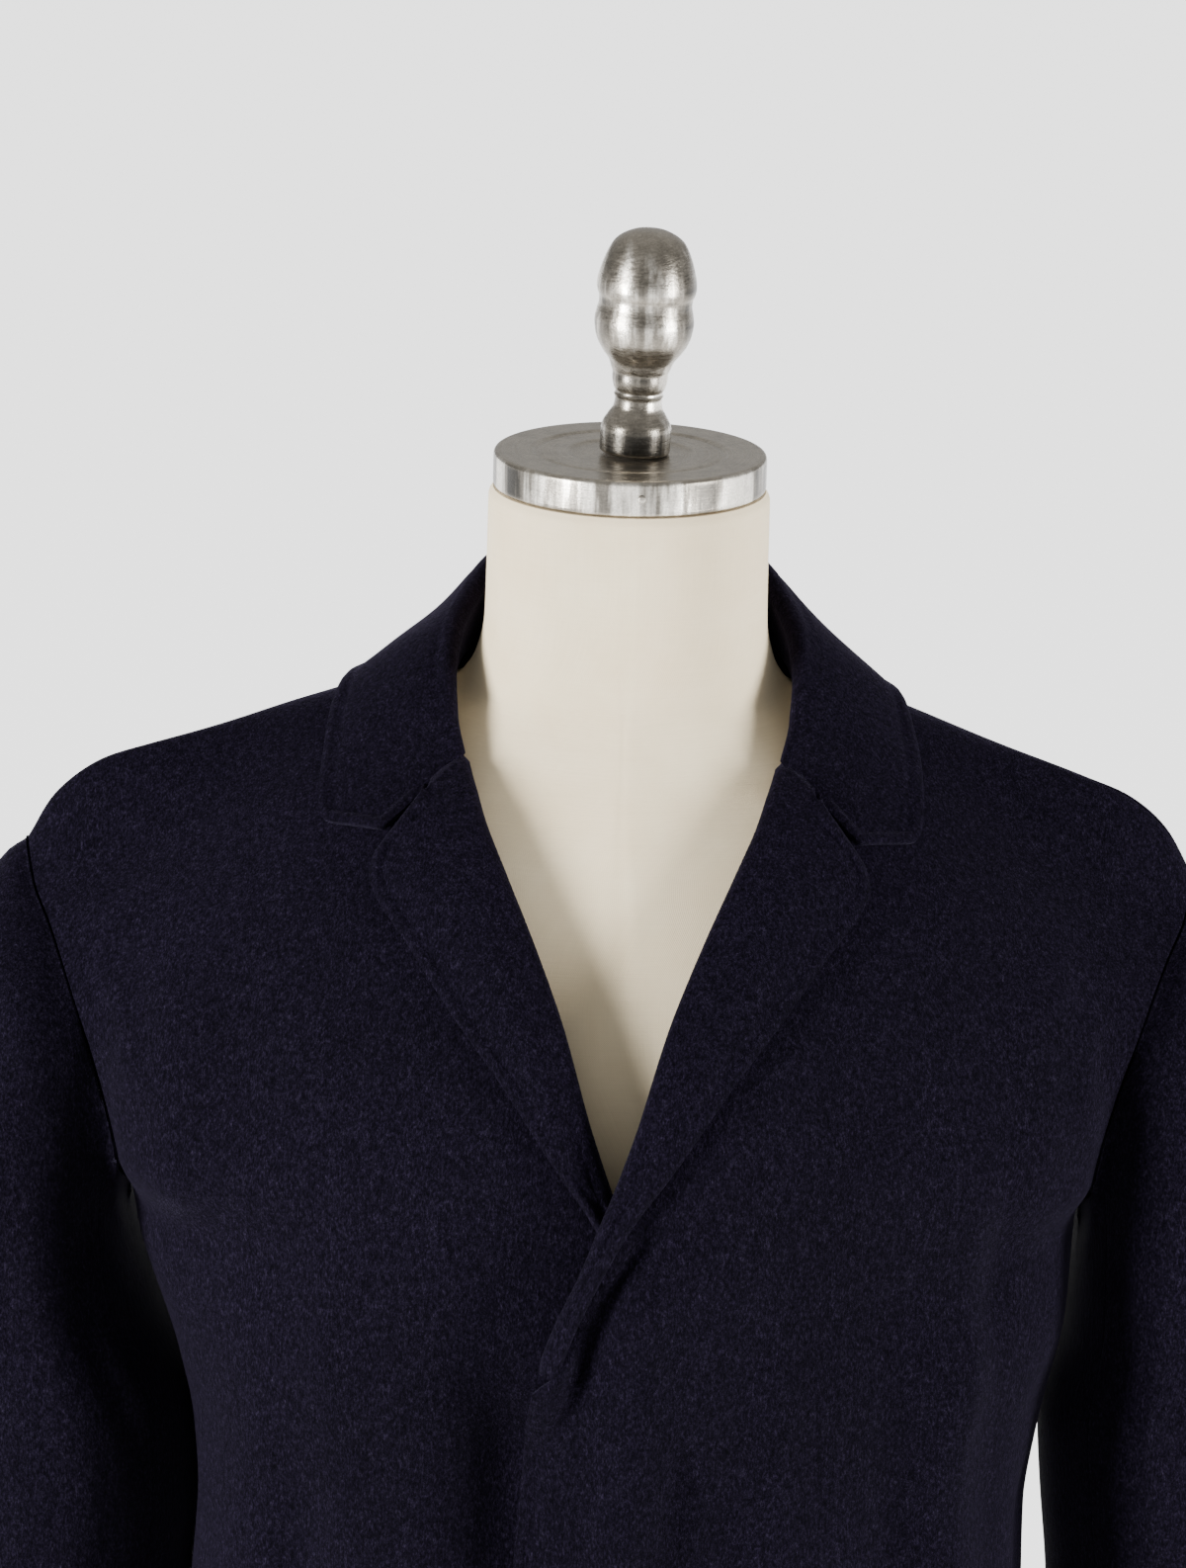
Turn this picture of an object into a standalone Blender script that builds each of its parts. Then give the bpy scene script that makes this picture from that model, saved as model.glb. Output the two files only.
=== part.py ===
"""Navy wool overcoat with notch lapels, worn by a tailor's dress form.

Metres, +Z up, the coat's front faces -Y. +X is the wearer's left. The origin is on the floor, at the
centre of the foot. The coat is a set of thin walls, one for each piece that a maker cuts and sews.
"""
import math

import bmesh
import bpy
import numpy as np

# ---------------------------------------------------------------- driving dimensions (metres)
CAP_TOP = 1.560          # top face of the neck cap above the floor
CLOTH = 0.0025           # wall of the double-faced wool
SEAM_HALF = 0.0002       # each piece stops this far short of a seam line
LAY = 0.0014             # clearance of a piece that lies on another
FALL_CLEARANCE = 0.0020  # the same under the edge of the collar, which bridges the shoulder
FOLD_RADIUS = 0.0052     # outside radius where the collar and the lapels turn over
HEM_HEIGHT = 0.460       # hem above the floor
UNDERARM = 0.285         # length down the front or the back from the shoulder ridge to the underarm
NECK_CAP_RADIUS = 0.060
NECK_CAP_HEIGHT = 0.016
KNOB_LEAN = math.radians(2.7)
POLE_RADIUS = 0.016
FOOT_HEIGHT = 0.018
FORM_BOTTOM = 0.800      # underside of the canvas body
TURN_SEGMENTS = 28       # facets round a turned piece

NAVY = (0.0068, 0.0062, 0.0145)
CANVAS = (0.72, 0.64, 0.50)
METAL = (0.55, 0.53, 0.50)

# The shoulder ridge, from the centre back of the neck hole to the top of the armhole.
# columns: x, y, z
RIDGE = (
    (0.0000, 0.078, 1.472),
    (0.0400, 0.070, 1.471),
    (0.0670, 0.042, 1.467),
    (0.0800, 0.008, 1.462),
    (0.1220, 0.004, 1.4495),
    (0.1650, 0.003, 1.4346),
    (0.2060, 0.003, 1.4200),
    (0.2250, 0.004, 1.4120),
    (0.2430, 0.006, 1.3970),
    (0.2560, 0.008, 1.3750),
)
RIDGE_NECK_POINT = 3     # the row of RIDGE where the shoulder seam meets the neck

# The coat's outer face: one row for each level, half of the body, the other half is its mirror.
# columns: down (length from the ridge, minus on the back), centre y, centre z, side x, side y, side z,
# turn (0: the row runs straight into its side point, 1: it turns round there as on a barrel)
BODY_ROWS = (
    (-1.050, 0.150, HEM_HEIGHT, 0.2450, 0.020, HEM_HEIGHT, 1.00),
    (-0.640, 0.138, 0.880, 0.2040, 0.000, 0.880, 1.00),
    (-0.430, 0.124, 1.085, 0.1905, -0.030, 1.085, 1.00),
    (-0.395, 0.126, 1.118, 0.1950, -0.024, 1.118, 1.00),
    (-0.335, 0.129, 1.170, 0.2052, -0.022, 1.170, 1.00),
    (-0.285, 0.132, 1.215, 0.2092, -0.006, 1.215, 1.00),
    (-0.230, 0.134, 1.275, 0.2190, 0.066, 1.247, 0.75),
    (-0.165, 0.130, 1.342, 0.2320, 0.070, 1.303, 0.45),
    (-0.090, 0.112, 1.416, 0.2470, 0.040, 1.351, 0.20),
    (0.045, -0.064, 1.445, 0.2520, -0.009, 1.360, 0.10),
    (0.090, -0.097, 1.408, 0.2440, -0.026, 1.346, 0.20),
    (0.165, -0.129, 1.338, 0.2270, -0.050, 1.302, 0.45),
    (0.230, -0.145, 1.272, 0.2135, -0.050, 1.246, 0.80),
    (0.285, -0.151, 1.215, 0.2092, -0.006, 1.215, 1.00),
    (0.335, -0.152, 1.170, 0.2052, -0.022, 1.170, 1.00),
    (0.395, -0.152, 1.118, 0.1950, -0.024, 1.118, 1.00),
    (0.430, -0.153, 1.085, 0.1905, -0.030, 1.085, 1.00),
    (0.640, -0.153, 0.880, 0.2040, 0.000, 0.880, 1.00),
    (1.050, -0.165, HEM_HEIGHT, 0.2450, 0.020, HEM_HEIGHT, 1.00),
)
RIDGE_PLACE = 9          # the ridge goes between the last back row and the first front row
FULLNESS = 0.60          # how far a row runs straight from the centre before it turns back
TURN_DEPTH = 0.55        # the same at its side

# The wearer's left front edge: the roll line of the lapel down to the break, then the lapping edge.
# columns: z, x
FRONT_EDGE = (
    (HEM_HEIGHT, -0.0420),
    (0.9000, -0.0410),
    (1.0963, -0.0387),
    (1.1404, -0.0358),
    (1.1679, -0.0332),
    (1.1862, -0.0294),
    (1.1999, -0.0254),
    (1.2270, -0.0133),
    (1.2456, -0.0053),
    (1.2684, 0.0000),
    (1.2942, 0.0105),
    (1.3393, 0.0247),
    (1.3756, 0.0399),
    (1.4091, 0.0570),
    (1.4356, 0.0682),
)
BREAK_HEIGHT = 1.1500    # where the lapel starts to turn over
BREAK_LENGTH = 0.0320    # length over which it comes to lie round the front's edge

# The lapel, from the gorge down to the break.
# columns: roll x, roll z, outer edge x, outer edge z
LAPEL_ROWS = (
    (0.0680, 1.4350, 0.1004, 1.4026),
    (0.0656, 1.4296, 0.1054, 1.3954),
    (0.0635, 1.4250, 0.1070, 1.3880),
    (0.0590, 1.4140, 0.1040, 1.3810),
    (0.0500, 1.3960, 0.0912, 1.3656),
    (0.0400, 1.3750, 0.0696, 1.3374),
    (0.0247, 1.3390, 0.0480, 1.3105),
    (0.0105, 1.2949, 0.0270, 1.2805),
    (-0.0020, 1.2600, 0.0080, 1.2540),
    (-0.0133, 1.2277, -0.0045, 1.2300),
    (-0.0215, 1.2090, -0.0125, 1.2120),
    (-0.0294, 1.1863, -0.0205, 1.1890),
)
LAPEL_SPRING = 0.0022    # how far the middle of a lapel stands off the front
EDGE_RECESS = 0.0020     # how far the front's own edge lies back from the middle of that turn
BEHIND_EXTRA = 0.0006    # extra clearance of the facing behind the front
FACING_WIDTH = 0.010     # part of the facing that stays behind the front's edge

# The lift of the lapping front over the other one near the centre, by height.
# columns: z, lift
LAP_LIFT = (
    (HEM_HEIGHT, 0.0052),
    (1.1300, 0.0058),
    (1.1900, 0.0098),
    (1.2450, 0.0128),
    (1.2900, 0.0120),
    (1.3500, 0.0050),
    (1.4500, 0.0000),
)
LEFT_DROP = 0.004        # the wearer's left shoulder hangs lower by this
RIGHT_REACH = 0.008      # the wearer's right shoulder reaches further out by this
WAIST_IN = 0.0100        # how far the wearer's right side is drawn in under the arm
WAIST_TOP = 1.220
WAIST_BOTTOM = 0.900
ARM_IN = 0.0190          # how much closer the wearer's right sleeve hangs to the body
ARM_IN_TOP = 1.215
ARM_IN_SPAN = 0.150
LIFT_FULL = 0.030        # x up to which the lift is full
HIDDEN_REACH = -0.035    # the right front is smooth up to this far on its own side of the centre
HIDDEN_FADE = 0.020
LIFT_END = 0.110         # x where it has run out

# Soft drape folds raised in the cloth: ridges are plus, troughs minus.
# columns: face (1 front, -1 back), top x, top z, bottom x, bottom z, width, height
FOLDS = (
    (1, 0.014, 1.225, 0.004, 0.900, 0.013, 0.0040),
    (1, 0.150, 1.330, 0.150, 0.800, 0.020, 0.0050),
    (1, 0.126, 1.260, 0.128, 0.980, 0.014, -0.0040),
    (1, 0.108, 1.230, 0.102, 0.700, 0.018, 0.0040),
    (1, 0.186, 1.370, 0.190, 1.240, 0.016, 0.0040),
    (1, -0.186, 1.360, -0.192, 1.210, 0.016, 0.0055),
    (1, -0.165, 1.230, -0.160, 0.700, 0.020, 0.0060),
    (1, -0.135, 1.180, -0.130, 0.800, 0.018, -0.0050),
    (1, -0.070, 1.200, -0.085, 0.600, 0.026, -0.0040),
    (-1, 0.120, 1.360, 0.110, 0.800, 0.026, 0.0050),
    (-1, -0.126, 1.330, -0.118, 0.700, 0.028, 0.0050),
    (-1, 0.060, 1.100, 0.070, 0.500, 0.030, -0.0060),
    (-1, -0.050, 1.050, -0.062, 0.500, 0.030, -0.0060),
)

# The collar, a wall folded along its crease: one row for each section, from the centre back to the gorge.
# columns: crease x, y, z; stand bottom x, y, z; fall edge x, fall edge down, fall middle swell
COLLAR_ROWS = (
    (0.0000, 0.0695, 1.5120, 0.0000, 0.0715, 1.4710, 0.0000, -0.0400, 0.0040),
    (0.0300, 0.0635, 1.5110, 0.0320, 0.0630, 1.4700, 0.0450, -0.0390, 0.0040),
    (0.0540, 0.0440, 1.5050, 0.0560, 0.0420, 1.4670, 0.0860, -0.0330, 0.0035),
    (0.0670, 0.0160, 1.4940, 0.0715, 0.0120, 1.4620, 0.1120, -0.0170, 0.0030),
    (0.0735, -0.0080, 1.4820, 0.0750, -0.0020, 1.4560, 0.1230, 0.0040, 0.0030),
    (0.0748, -0.0280, 1.4680, 0.0780, -0.0130, 1.4480, 0.1290, 0.0270, 0.0030),
    (0.0725, -0.0440, 1.4510, 0.0790, -0.0300, 1.4370, 0.1303, 0.0440, 0.0020),
    (0.0685, -0.0560, 1.4365, 0.0790, -0.0460, 1.4260, 0.1288, 0.0598, 0.0000),
)
NOTCH = (0.1014, 1.4052)  # x and z where the collar's lower edge meets the gorge

# A sleeve below its armhole seam: one row for each ring.
# columns: along, inner x, inner z, outer x, outer z, centre y, half depth
SLEEVE_ROWS = (
    (0.035, 0.2095, 1.190, 0.2770, 1.348, 0.010, 0.0730),
    (0.090, 0.2072, 1.160, 0.2970, 1.298, 0.008, 0.0790),
    (0.170, 0.1985, 1.112, 0.3120, 1.215, 0.006, 0.0800),
    (0.280, 0.2050, 1.040, 0.3220, 1.095, 0.004, 0.0760),
    (0.440, 0.2240, 0.900, 0.3300, 0.920, -0.012, 0.0660),
    (0.610, 0.2420, 0.752, 0.3340, 0.742, -0.036, 0.0570),
)
CORNER_GAP = 0.0018      # a sleeve's seams open this much wider where they meet the armhole
CORNER_LENGTH = 0.065
SLEEVE_PUSH = 0.0008     # the sleeve's seam edge stands this far outside the armhole's
# how far the sleeve is held off the body under the arm: along, distance
UNDERARM_PUSH = ((0.0, 0.010, 0.035, 0.090, 0.610), (0.0014, 0.0022, 0.0016, 0.0, 0.0))
MITRE_FROM = 0.40        # two walls share a mitred seam where their normals agree by more than this,
MITRE_SPAN = 0.50        # fully so from this much more
SLEEVE_FRONT_SEAM = 3    # ring columns from the underarm to the front sleeve seam
SLEEVE_BACK_SEAM = 4     # the same at the back

# The canvas body: one row for each ring.
# columns: z, half width, front depth, back depth, exponent of the outline
FORM_ROWS = (
    (1.5437, 0.0600, 0.0600, 0.0600, 2.0),
    (1.5400, 0.0618, 0.0618, 0.0618, 2.0),
    (1.5100, 0.0620, 0.0620, 0.0620, 2.0),
    (1.4850, 0.0624, 0.0625, 0.0628, 2.0),
    (1.4700, 0.0655, 0.0635, 0.0640, 1.9),
    (1.4600, 0.0740, 0.0645, 0.0660, 1.6),
    (1.4530, 0.0930, 0.0655, 0.0690, 1.35),
    (1.4440, 0.1240, 0.0670, 0.0730, 1.25),
    (1.4300, 0.1650, 0.0710, 0.0790, 1.25),
    (1.4155, 0.2020, 0.0770, 0.0840, 1.25),
    (1.4000, 0.2120, 0.0840, 0.0880, 1.35),
    (1.3800, 0.2140, 0.0930, 0.0920, 1.50),
    (1.3500, 0.2110, 0.1040, 0.0960, 1.70),
    (1.3000, 0.2010, 0.1170, 0.1000, 1.90),
    (1.2400, 0.1830, 0.1250, 0.1010, 2.05),
    (1.1700, 0.1640, 0.1210, 0.0930, 2.1),
    (1.0900, 0.1520, 0.1080, 0.0830, 2.1),
    (1.0000, 0.1600, 0.1050, 0.0920, 2.1),
    (0.9000, 0.1740, 0.1120, 0.1080, 2.1),
    (FORM_BOTTOM, 0.1760, 0.1130, 0.1080, 2.1),
)
FORM_SEGMENTS = 32
FORM_CLEARANCE = 0.00165  # between the canvas and the coat where the coat rests
COLLAR_ROOM = 0.0080     # more room near the neck, for the collar and the facings

# Turned profiles, run down the outer side. columns: radius, height above the piece's lowest level
CAP_PROFILE = (
    (0.0000, 0.0148), (0.0260, 0.0148), (0.0275, 0.0157), (0.0400, 0.0157), (0.0407, 0.0150),
    (0.0420, 0.0150), (0.0427, 0.0160), (0.0590, 0.0160), (0.0600, 0.0150), (0.0600, 0.0010),
    (0.0590, 0.0000), (0.0000, 0.0000),
)
KNOB_PROFILE = (
    (0.0000, 0.0995), (0.0060, 0.0988), (0.0108, 0.0970), (0.0150, 0.0940), (0.0175, 0.0900),
    (0.0195, 0.0850), (0.0207, 0.0810), (0.0217, 0.0765), (0.0219, 0.0740), (0.0214, 0.0712),
    (0.0205, 0.0690), (0.0204, 0.0665), (0.0212, 0.0625), (0.0218, 0.0586), (0.0213, 0.0540),
    (0.0200, 0.0497), (0.0175, 0.0453), (0.0142, 0.0408), (0.0130, 0.0375), (0.0122, 0.0353),
    (0.0122, 0.0335), (0.0113, 0.0290), (0.0103, 0.0268), (0.0109, 0.0258), (0.0103, 0.0240),
    (0.0107, 0.0205), (0.0130, 0.0165), (0.0151, 0.0125), (0.0155, 0.0100), (0.0155, 0.0010),
    (0.0145, 0.0000), (0.0000, 0.0000),
)
FOOT_PROFILE = (
    (0.0000, FOOT_HEIGHT), (0.1950, FOOT_HEIGHT), (0.2050, FOOT_HEIGHT - 0.003),
    (0.2100, FOOT_HEIGHT - 0.009), (0.2100, 0.0000), (0.0000, 0.0000),
)


# ---------------------------------------------------------------- smooth curves through tables
def smooth(knots, rows, at):
    """Monotone cubic through rows (first axis) at the knots, read at each value of at."""
    knots = np.asarray(knots, float)
    rows = np.asarray(rows, float)
    at = np.clip(np.asarray(at, float), knots[0], knots[-1])
    step = np.diff(knots).reshape((-1,) + (1,) * (rows.ndim - 1))
    rise = np.diff(rows, axis=0) / step
    slope = np.empty_like(rows)
    slope[0] = rise[0]
    slope[-1] = rise[-1]
    before, after = rise[:-1], rise[1:]
    same_way = before * after > 0
    weight_a = 2 * step[1:] + step[:-1]
    weight_b = step[1:] + 2 * step[:-1]
    safe_before = np.where(same_way, before, 1.0)
    safe_after = np.where(same_way, after, 1.0)
    mean = (weight_a + weight_b) / (weight_a / safe_before + weight_b / safe_after)
    slope[1:-1] = np.where(same_way, mean, 0.0)
    index = np.clip(np.searchsorted(knots, at, side="right") - 1, 0, len(knots) - 2)
    width = knots[index + 1] - knots[index]
    part = (at - knots[index]) / width

    def read(values, shift=0):
        """The row that each value of at needs: a shared one, or each point's own."""
        if values.ndim > at.ndim and values.shape[1:1 + at.ndim] == at.shape:
            picked = np.take_along_axis(values, (index + shift)[None, ..., None], axis=0)
            return picked[0]
        return values[index + shift]

    extra = (...,) + (None,) * (read(rows).ndim - at.ndim)
    part, width = part[extra], width[extra]
    bend = part ** 2 * (3 - 2 * part)
    leave = part * (1 - part) ** 2 * width
    arrive = part ** 2 * (part - 1) * width
    return (1 - bend) * read(rows) + bend * read(rows, 1) + leave * read(slope) + arrive * read(slope, 1)


def table_curve(table, key, columns, at):
    """Smooth curve through the named columns of a table, read at the values of its key column."""
    table = np.array(sorted(table, key=lambda row: row[key]))
    return smooth(table[:, key], table[:, columns], at)


def unit(vector):
    return vector / np.maximum(np.linalg.norm(vector, axis=-1, keepdims=True), 1e-12)


def ease(value):
    """0 to 1 with level ends."""
    value = np.clip(value, 0.0, 1.0)
    return value * value * (3 - 2 * value)


# ---------------------------------------------------------------- the coat body as one surface
RIDGE_POINTS = np.array(RIDGE)
RIDGE_LENGTH = np.concatenate([[0.0], np.cumsum(np.linalg.norm(np.diff(RIDGE_POINTS, axis=0), axis=1))])
RIDGE_ACROSS = RIDGE_LENGTH / RIDGE_LENGTH[-1]
NECK_ACROSS = RIDGE_ACROSS[RIDGE_NECK_POINT]
ROW_DOWNS = [row[0] for row in BODY_ROWS]
DOWNS = np.array(ROW_DOWNS[:RIDGE_PLACE] + [0.0] + ROW_DOWNS[RIDGE_PLACE:])


def level_row(row, across):
    """One level of the body from its centre (across 0) to its side (across 1)."""
    _, centre_y, centre_z, side_x, side_y, side_z, turn = row
    centre = np.array([0.0, centre_y, centre_z])
    side = np.array([side_x, side_y, side_z])
    forward = np.array([FULLNESS * side_x, centre_y, centre_z + 0.25 * (side_z - centre_z)])
    straight = side + (centre - side) * 0.35
    barrel = np.array([side_x, side_y + TURN_DEPTH * (centre_y - side_y), side_z])
    inward = straight + (barrel - straight) * turn
    a = across[..., None]
    b = 1 - a
    return b ** 3 * centre + 3 * a * b ** 2 * forward + 3 * a ** 2 * b * inward + a ** 3 * side


def plain_body(across, down):
    """A point for each pair, before front and back agree on the side seam."""
    rows = [level_row(row, across) for row in BODY_ROWS]
    rows.insert(RIDGE_PLACE, smooth(RIDGE_ACROSS, RIDGE_POINTS, across))
    return smooth(DOWNS, np.stack(rows), down)


def body(across, down):
    """The outer face: across runs 0 to 1 from centre to side, minus on the wearer's right."""
    across, down = np.broadcast_arrays(np.asarray(across, float), np.asarray(down, float))
    half = np.abs(across)
    point = plain_body(half, down)
    side = np.ones_like(half)
    own = plain_body(side, down)
    other = plain_body(side, -down)
    below = (np.abs(down) >= UNDERARM)[..., None]
    point = point + np.where(below, 0.5 * (other - own), 0.0) * (half ** 4)[..., None]
    return point * np.where(across[..., None] < 0, [-1, 1, 1], [1, 1, 1])


def body_normal(across, down):
    """Outward unit normal of body()."""
    small = 1e-4
    across, down = np.broadcast_arrays(np.asarray(across, float), np.asarray(down, float))
    along_across = body(np.minimum(across + small, 1.0), down) - body(np.maximum(across - small, -1.0), down)
    along_down = body(across, down + small) - body(across, down - small)
    return unit(np.cross(along_down, along_across))


def across_at(x, down):
    """The across value where body() has this x at this level."""
    x, down = np.broadcast_arrays(np.asarray(x, float), np.asarray(down, float))
    low = -np.ones_like(x)
    high = np.ones_like(x)
    for _ in range(20):
        middle = 0.5 * (low + high)
        beyond = body(middle, down)[..., 0] > x
        high = np.where(beyond, middle, high)
        low = np.where(beyond, low, middle)
    return 0.5 * (low + high)


def down_at(x, z):
    """The level of the front where body() has this x and this height."""
    x, z = np.broadcast_arrays(np.asarray(x, float), np.asarray(z, float))
    low = np.zeros_like(x)
    high = np.full_like(x, DOWNS[-1])
    for _ in range(18):
        middle = 0.5 * (low + high)
        above = body(across_at(x, middle), middle)[..., 2] > z
        low = np.where(above, middle, low)
        high = np.where(above, high, middle)
    return 0.5 * (low + high)


def fold_height(point, face):
    """How far the soft folds raise a panel at each of its points."""
    total = np.zeros(point.shape[:-1])
    x, z = point[..., 0], point[..., 2]
    for fold_face, top_x, top_z, bottom_x, bottom_z, width, height in FOLDS:
        if fold_face != face:
            continue
        part = np.clip((top_z - z) / (top_z - bottom_z), 0.0, 1.0)
        middle = top_x + (bottom_x - top_x) * part
        window = ease(part / 0.3) * ease((1 - part) / 0.3)
        total += height * window * np.exp(-((x - middle) / width) ** 2)
    return total


def lap_lift(side, point):
    """How far the wearer's left front stands off the right one near the centre."""
    if side < 0:
        return np.zeros(point.shape[:-1])
    height = table_curve(LAP_LIFT, 0, 1, point[..., 2])
    return height * (1 - ease((point[..., 0] - LIFT_FULL) / (LIFT_END - LIFT_FULL)))


def hang(points):
    """The coat hangs a little askew: its left shoulder lies lower, its right one reaches further out."""
    x, z = points[..., 0], points[..., 2]
    left = ease((x - 0.06) / 0.12) * ease((z - 1.25) / 0.10)
    chest = ease((z - 1.12) / 0.10)
    right = ease((-x - 0.15) / 0.10) * (chest + (1 - chest) * ease((-x - 0.20) / 0.05))
    moved = points.copy()
    moved[..., 0] -= RIGHT_REACH * right
    moved[..., 2] -= LEFT_DROP * left
    return moved


def draw_in(points):
    """The wearer's right side is drawn in a little more, from the waist to the underarm."""
    x, z = points[..., 0], points[..., 2]
    at_side = ease((-x - 0.130) / 0.060)
    at_level = ease((WAIST_TOP - z) / 0.070) * ease((z - WAIST_BOTTOM) / 0.250)
    return points + (WAIST_IN * at_side * at_level)[..., None] * [1, 0, 0]


def arm_in(side, points):
    """The wearer's right sleeve hangs closer to the body below the underarm."""
    if side > 0:
        return points
    return points + (ARM_IN * ease((ARM_IN_TOP - points[..., 2]) / ARM_IN_SPAN))[..., None] * [1, 0, 0]


def front_face(side, across, down, offset=0.0):
    """A front's outer face with folds and lift, moved out by offset."""
    point = body(across, down)
    normal = body_normal(across, down)
    edge_fade = 1 - ease((np.abs(across) - 0.9) / 0.1)
    fold = fold_height(point * [side, 1, 1], 1) * edge_fade
    if side < 0:
        fold = fold * ease((point[..., 0] + HIDDEN_REACH) / HIDDEN_FADE)
    height = fold + lap_lift(side, point) + offset
    moved = point + normal * height[..., None]
    return draw_in(moved * [side, 1, 1]), normal * [side, 1, 1]


# ---------------------------------------------------------------- making objects
def material(name, colour, roughness, metallic=0.0):
    made = bpy.data.materials.new(name)
    made.use_nodes = True
    shader = made.node_tree.nodes["Principled BSDF"]
    shader.inputs["Base Color"].default_value = (*colour, 1.0)
    shader.inputs["Roughness"].default_value = roughness
    shader.inputs["Metallic"].default_value = metallic
    made.diffuse_color = (*colour, 1.0)
    return made


def link(name, mesh, finish, collection):
    made = bpy.data.objects.new(name, mesh)
    mesh.materials.append(finish)
    collection.objects.link(made)
    return made


def wall(name, outer, inward, finish, collection):
    """A closed wall: a grid of outer points and, a thickness inward from each, the inner ones."""
    rows, columns = outer.shape[:2]
    count = rows * columns
    corners = np.arange(count).reshape(rows, columns)
    quads = np.stack([corners[:-1, :-1], corners[:-1, 1:], corners[1:, 1:], corners[1:, :-1]], -1)
    quads = quads.reshape(-1, 4)
    border = np.concatenate([corners[0, :-1], corners[:-1, -1], corners[-1, :0:-1], corners[:0:-1, 0]])
    following = np.roll(border, -1)
    rim = np.stack([border, border + count, following + count, following], -1)
    faces = np.concatenate([quads, quads[:, ::-1] + count, rim])
    points = hang(np.concatenate([outer.reshape(-1, 3), (outer + inward).reshape(-1, 3)]))
    first = points[quads]
    facing = np.cross(first[:, 2] - first[:, 0], first[:, 3] - first[:, 1])
    if (facing * inward.reshape(-1, 3)[quads[:, 0]]).sum() > 0:
        faces = faces[:, ::-1]
    mesh = bpy.data.meshes.new(name)
    mesh.from_pydata(points.tolist(), [], faces.tolist())
    mesh.shade_smooth()
    mesh.set_sharp_from_angle(angle=math.radians(50))
    return link(name, mesh, finish, collection)


def pull_in(grid, axis, end, distance=SEAM_HALF):
    """Draws one border of a wall back from its seam line, along the cloth."""
    place = [slice(None), slice(None)]
    nearby = [slice(None), slice(None)]
    place[axis] = 0 if end == 0 else -1
    nearby[axis] = 1 if end == 0 else -2
    place, nearby = tuple(place), tuple(nearby)
    grid[place] += unit(grid[nearby] - grid[place]) * distance


def turned(name, profile, finish, collection, location, lean=0.0):
    """A turned piece: its profile swept round its axis."""
    mesh = bpy.data.meshes.new(name)
    points = [(radius, 0.0, height) for radius, height in profile]
    mesh.from_pydata(points, [(i, i + 1) for i in range(len(points) - 1)], [])
    made = link(name, mesh, finish, collection)
    screw = made.modifiers.new("turning", "SCREW")
    screw.axis = "Z"
    screw.steps = TURN_SEGMENTS
    screw.render_steps = TURN_SEGMENTS
    screw.use_merge_vertices = True
    screw.merge_threshold = 0.00005
    screw.use_smooth_shade = True
    made.location = location
    made.rotation_euler = (0.0, lean, 0.0)
    return made


# ---------------------------------------------------------------- the coat's pieces
YOKE_DOWNS = (0.0, 0.015, 0.030, 0.048, 0.066, 0.086, 0.106, 0.130, 0.155, 0.180, 0.210, 0.235, 0.260)
LOWER_DOWNS = (UNDERARM, 0.320, 0.360, 0.400, 0.450, 0.540, 0.660, 0.790, 0.920, 1.050)
PANEL_DOWNS = np.array(YOKE_DOWNS + LOWER_DOWNS)
YOKE_COUNT = len(YOKE_DOWNS)
FRONT_COLUMNS = 14
NECK_COLUMNS = 8


def spread(count):
    """0 to 1, closer together towards 1, where the shoulder turns down."""
    return 1 - (1 - np.linspace(0.0, 1.0, count)) ** 1.20


def front_edge_across(downs):
    """Where a front's inner border lies: inside the turn of the lapel, or at the lapping edge."""
    across = across_at(np.full_like(downs, 0.030), downs)
    for _ in range(6):
        z = body(across, downs)[:, 2]
        turned_over = ease((z - BREAK_HEIGHT) / BREAK_LENGTH)
        x = table_curve(FRONT_EDGE, 0, 1, z) + (FOLD_RADIUS + EDGE_RECESS) * turned_over
        across = across_at(x, downs)
    near_ridge = 1 - ease(downs / 0.050)
    return across + (NECK_ACROSS - across) * near_ridge


def sleeve(around, along):
    """A left sleeve's outer face: around runs 0 to 1 from the underarm forward and over."""
    around, along = np.broadcast_arrays(np.asarray(around, float), np.asarray(along, float))
    seam = body(np.ones_like(around), UNDERARM * (1 - 2 * around))
    rings = [seam]
    angle = 2 * math.pi * around
    for _, inner_x, inner_z, outer_x, outer_z, centre_y, half_depth in SLEEVE_ROWS:
        x = 0.5 * (inner_x + outer_x) - 0.5 * (outer_x - inner_x) * np.cos(angle)
        z = 0.5 * (inner_z + outer_z) - 0.5 * (outer_z - inner_z) * np.cos(angle)
        y = centre_y - half_depth * np.sin(angle)
        rings.append(np.stack([x, y, z], -1))
    return smooth([0.0] + [row[0] for row in SLEEVE_ROWS], np.stack(rings), along)


def sleeve_normal(around, along):
    small = 1e-4
    around, along = np.broadcast_arrays(np.asarray(around, float), np.asarray(along, float))
    lower = np.maximum(along - small, 0.0)
    forward = sleeve(np.mod(around + small, 1.0), along) - sleeve(np.mod(around - small, 1.0), along)
    return unit(np.cross(sleeve(around, along + small) - sleeve(around, lower), forward))


def seam_inward(own, other):
    """The wall's direction at the armhole: along the mitre where both walls turn the same way."""
    agree = ease(((own * other).sum(-1) - MITRE_FROM) / MITRE_SPAN)[..., None]
    mitre = unit(own + other)
    stretch = 1 / np.maximum((mitre * own).sum(-1, keepdims=True), 0.77)
    return -CLOTH * (own * (1 - agree) + mitre * stretch * agree)


def armhole_inward(downs, for_sleeve):
    around = (1 - downs / UNDERARM) / 2
    body_side = body_normal(np.full_like(downs, 0.999), downs)
    sleeve_side = sleeve_normal(around, np.full_like(downs, 0.004))
    if for_sleeve:
        return seam_inward(sleeve_side, body_side)
    return seam_inward(body_side, sleeve_side)


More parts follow.
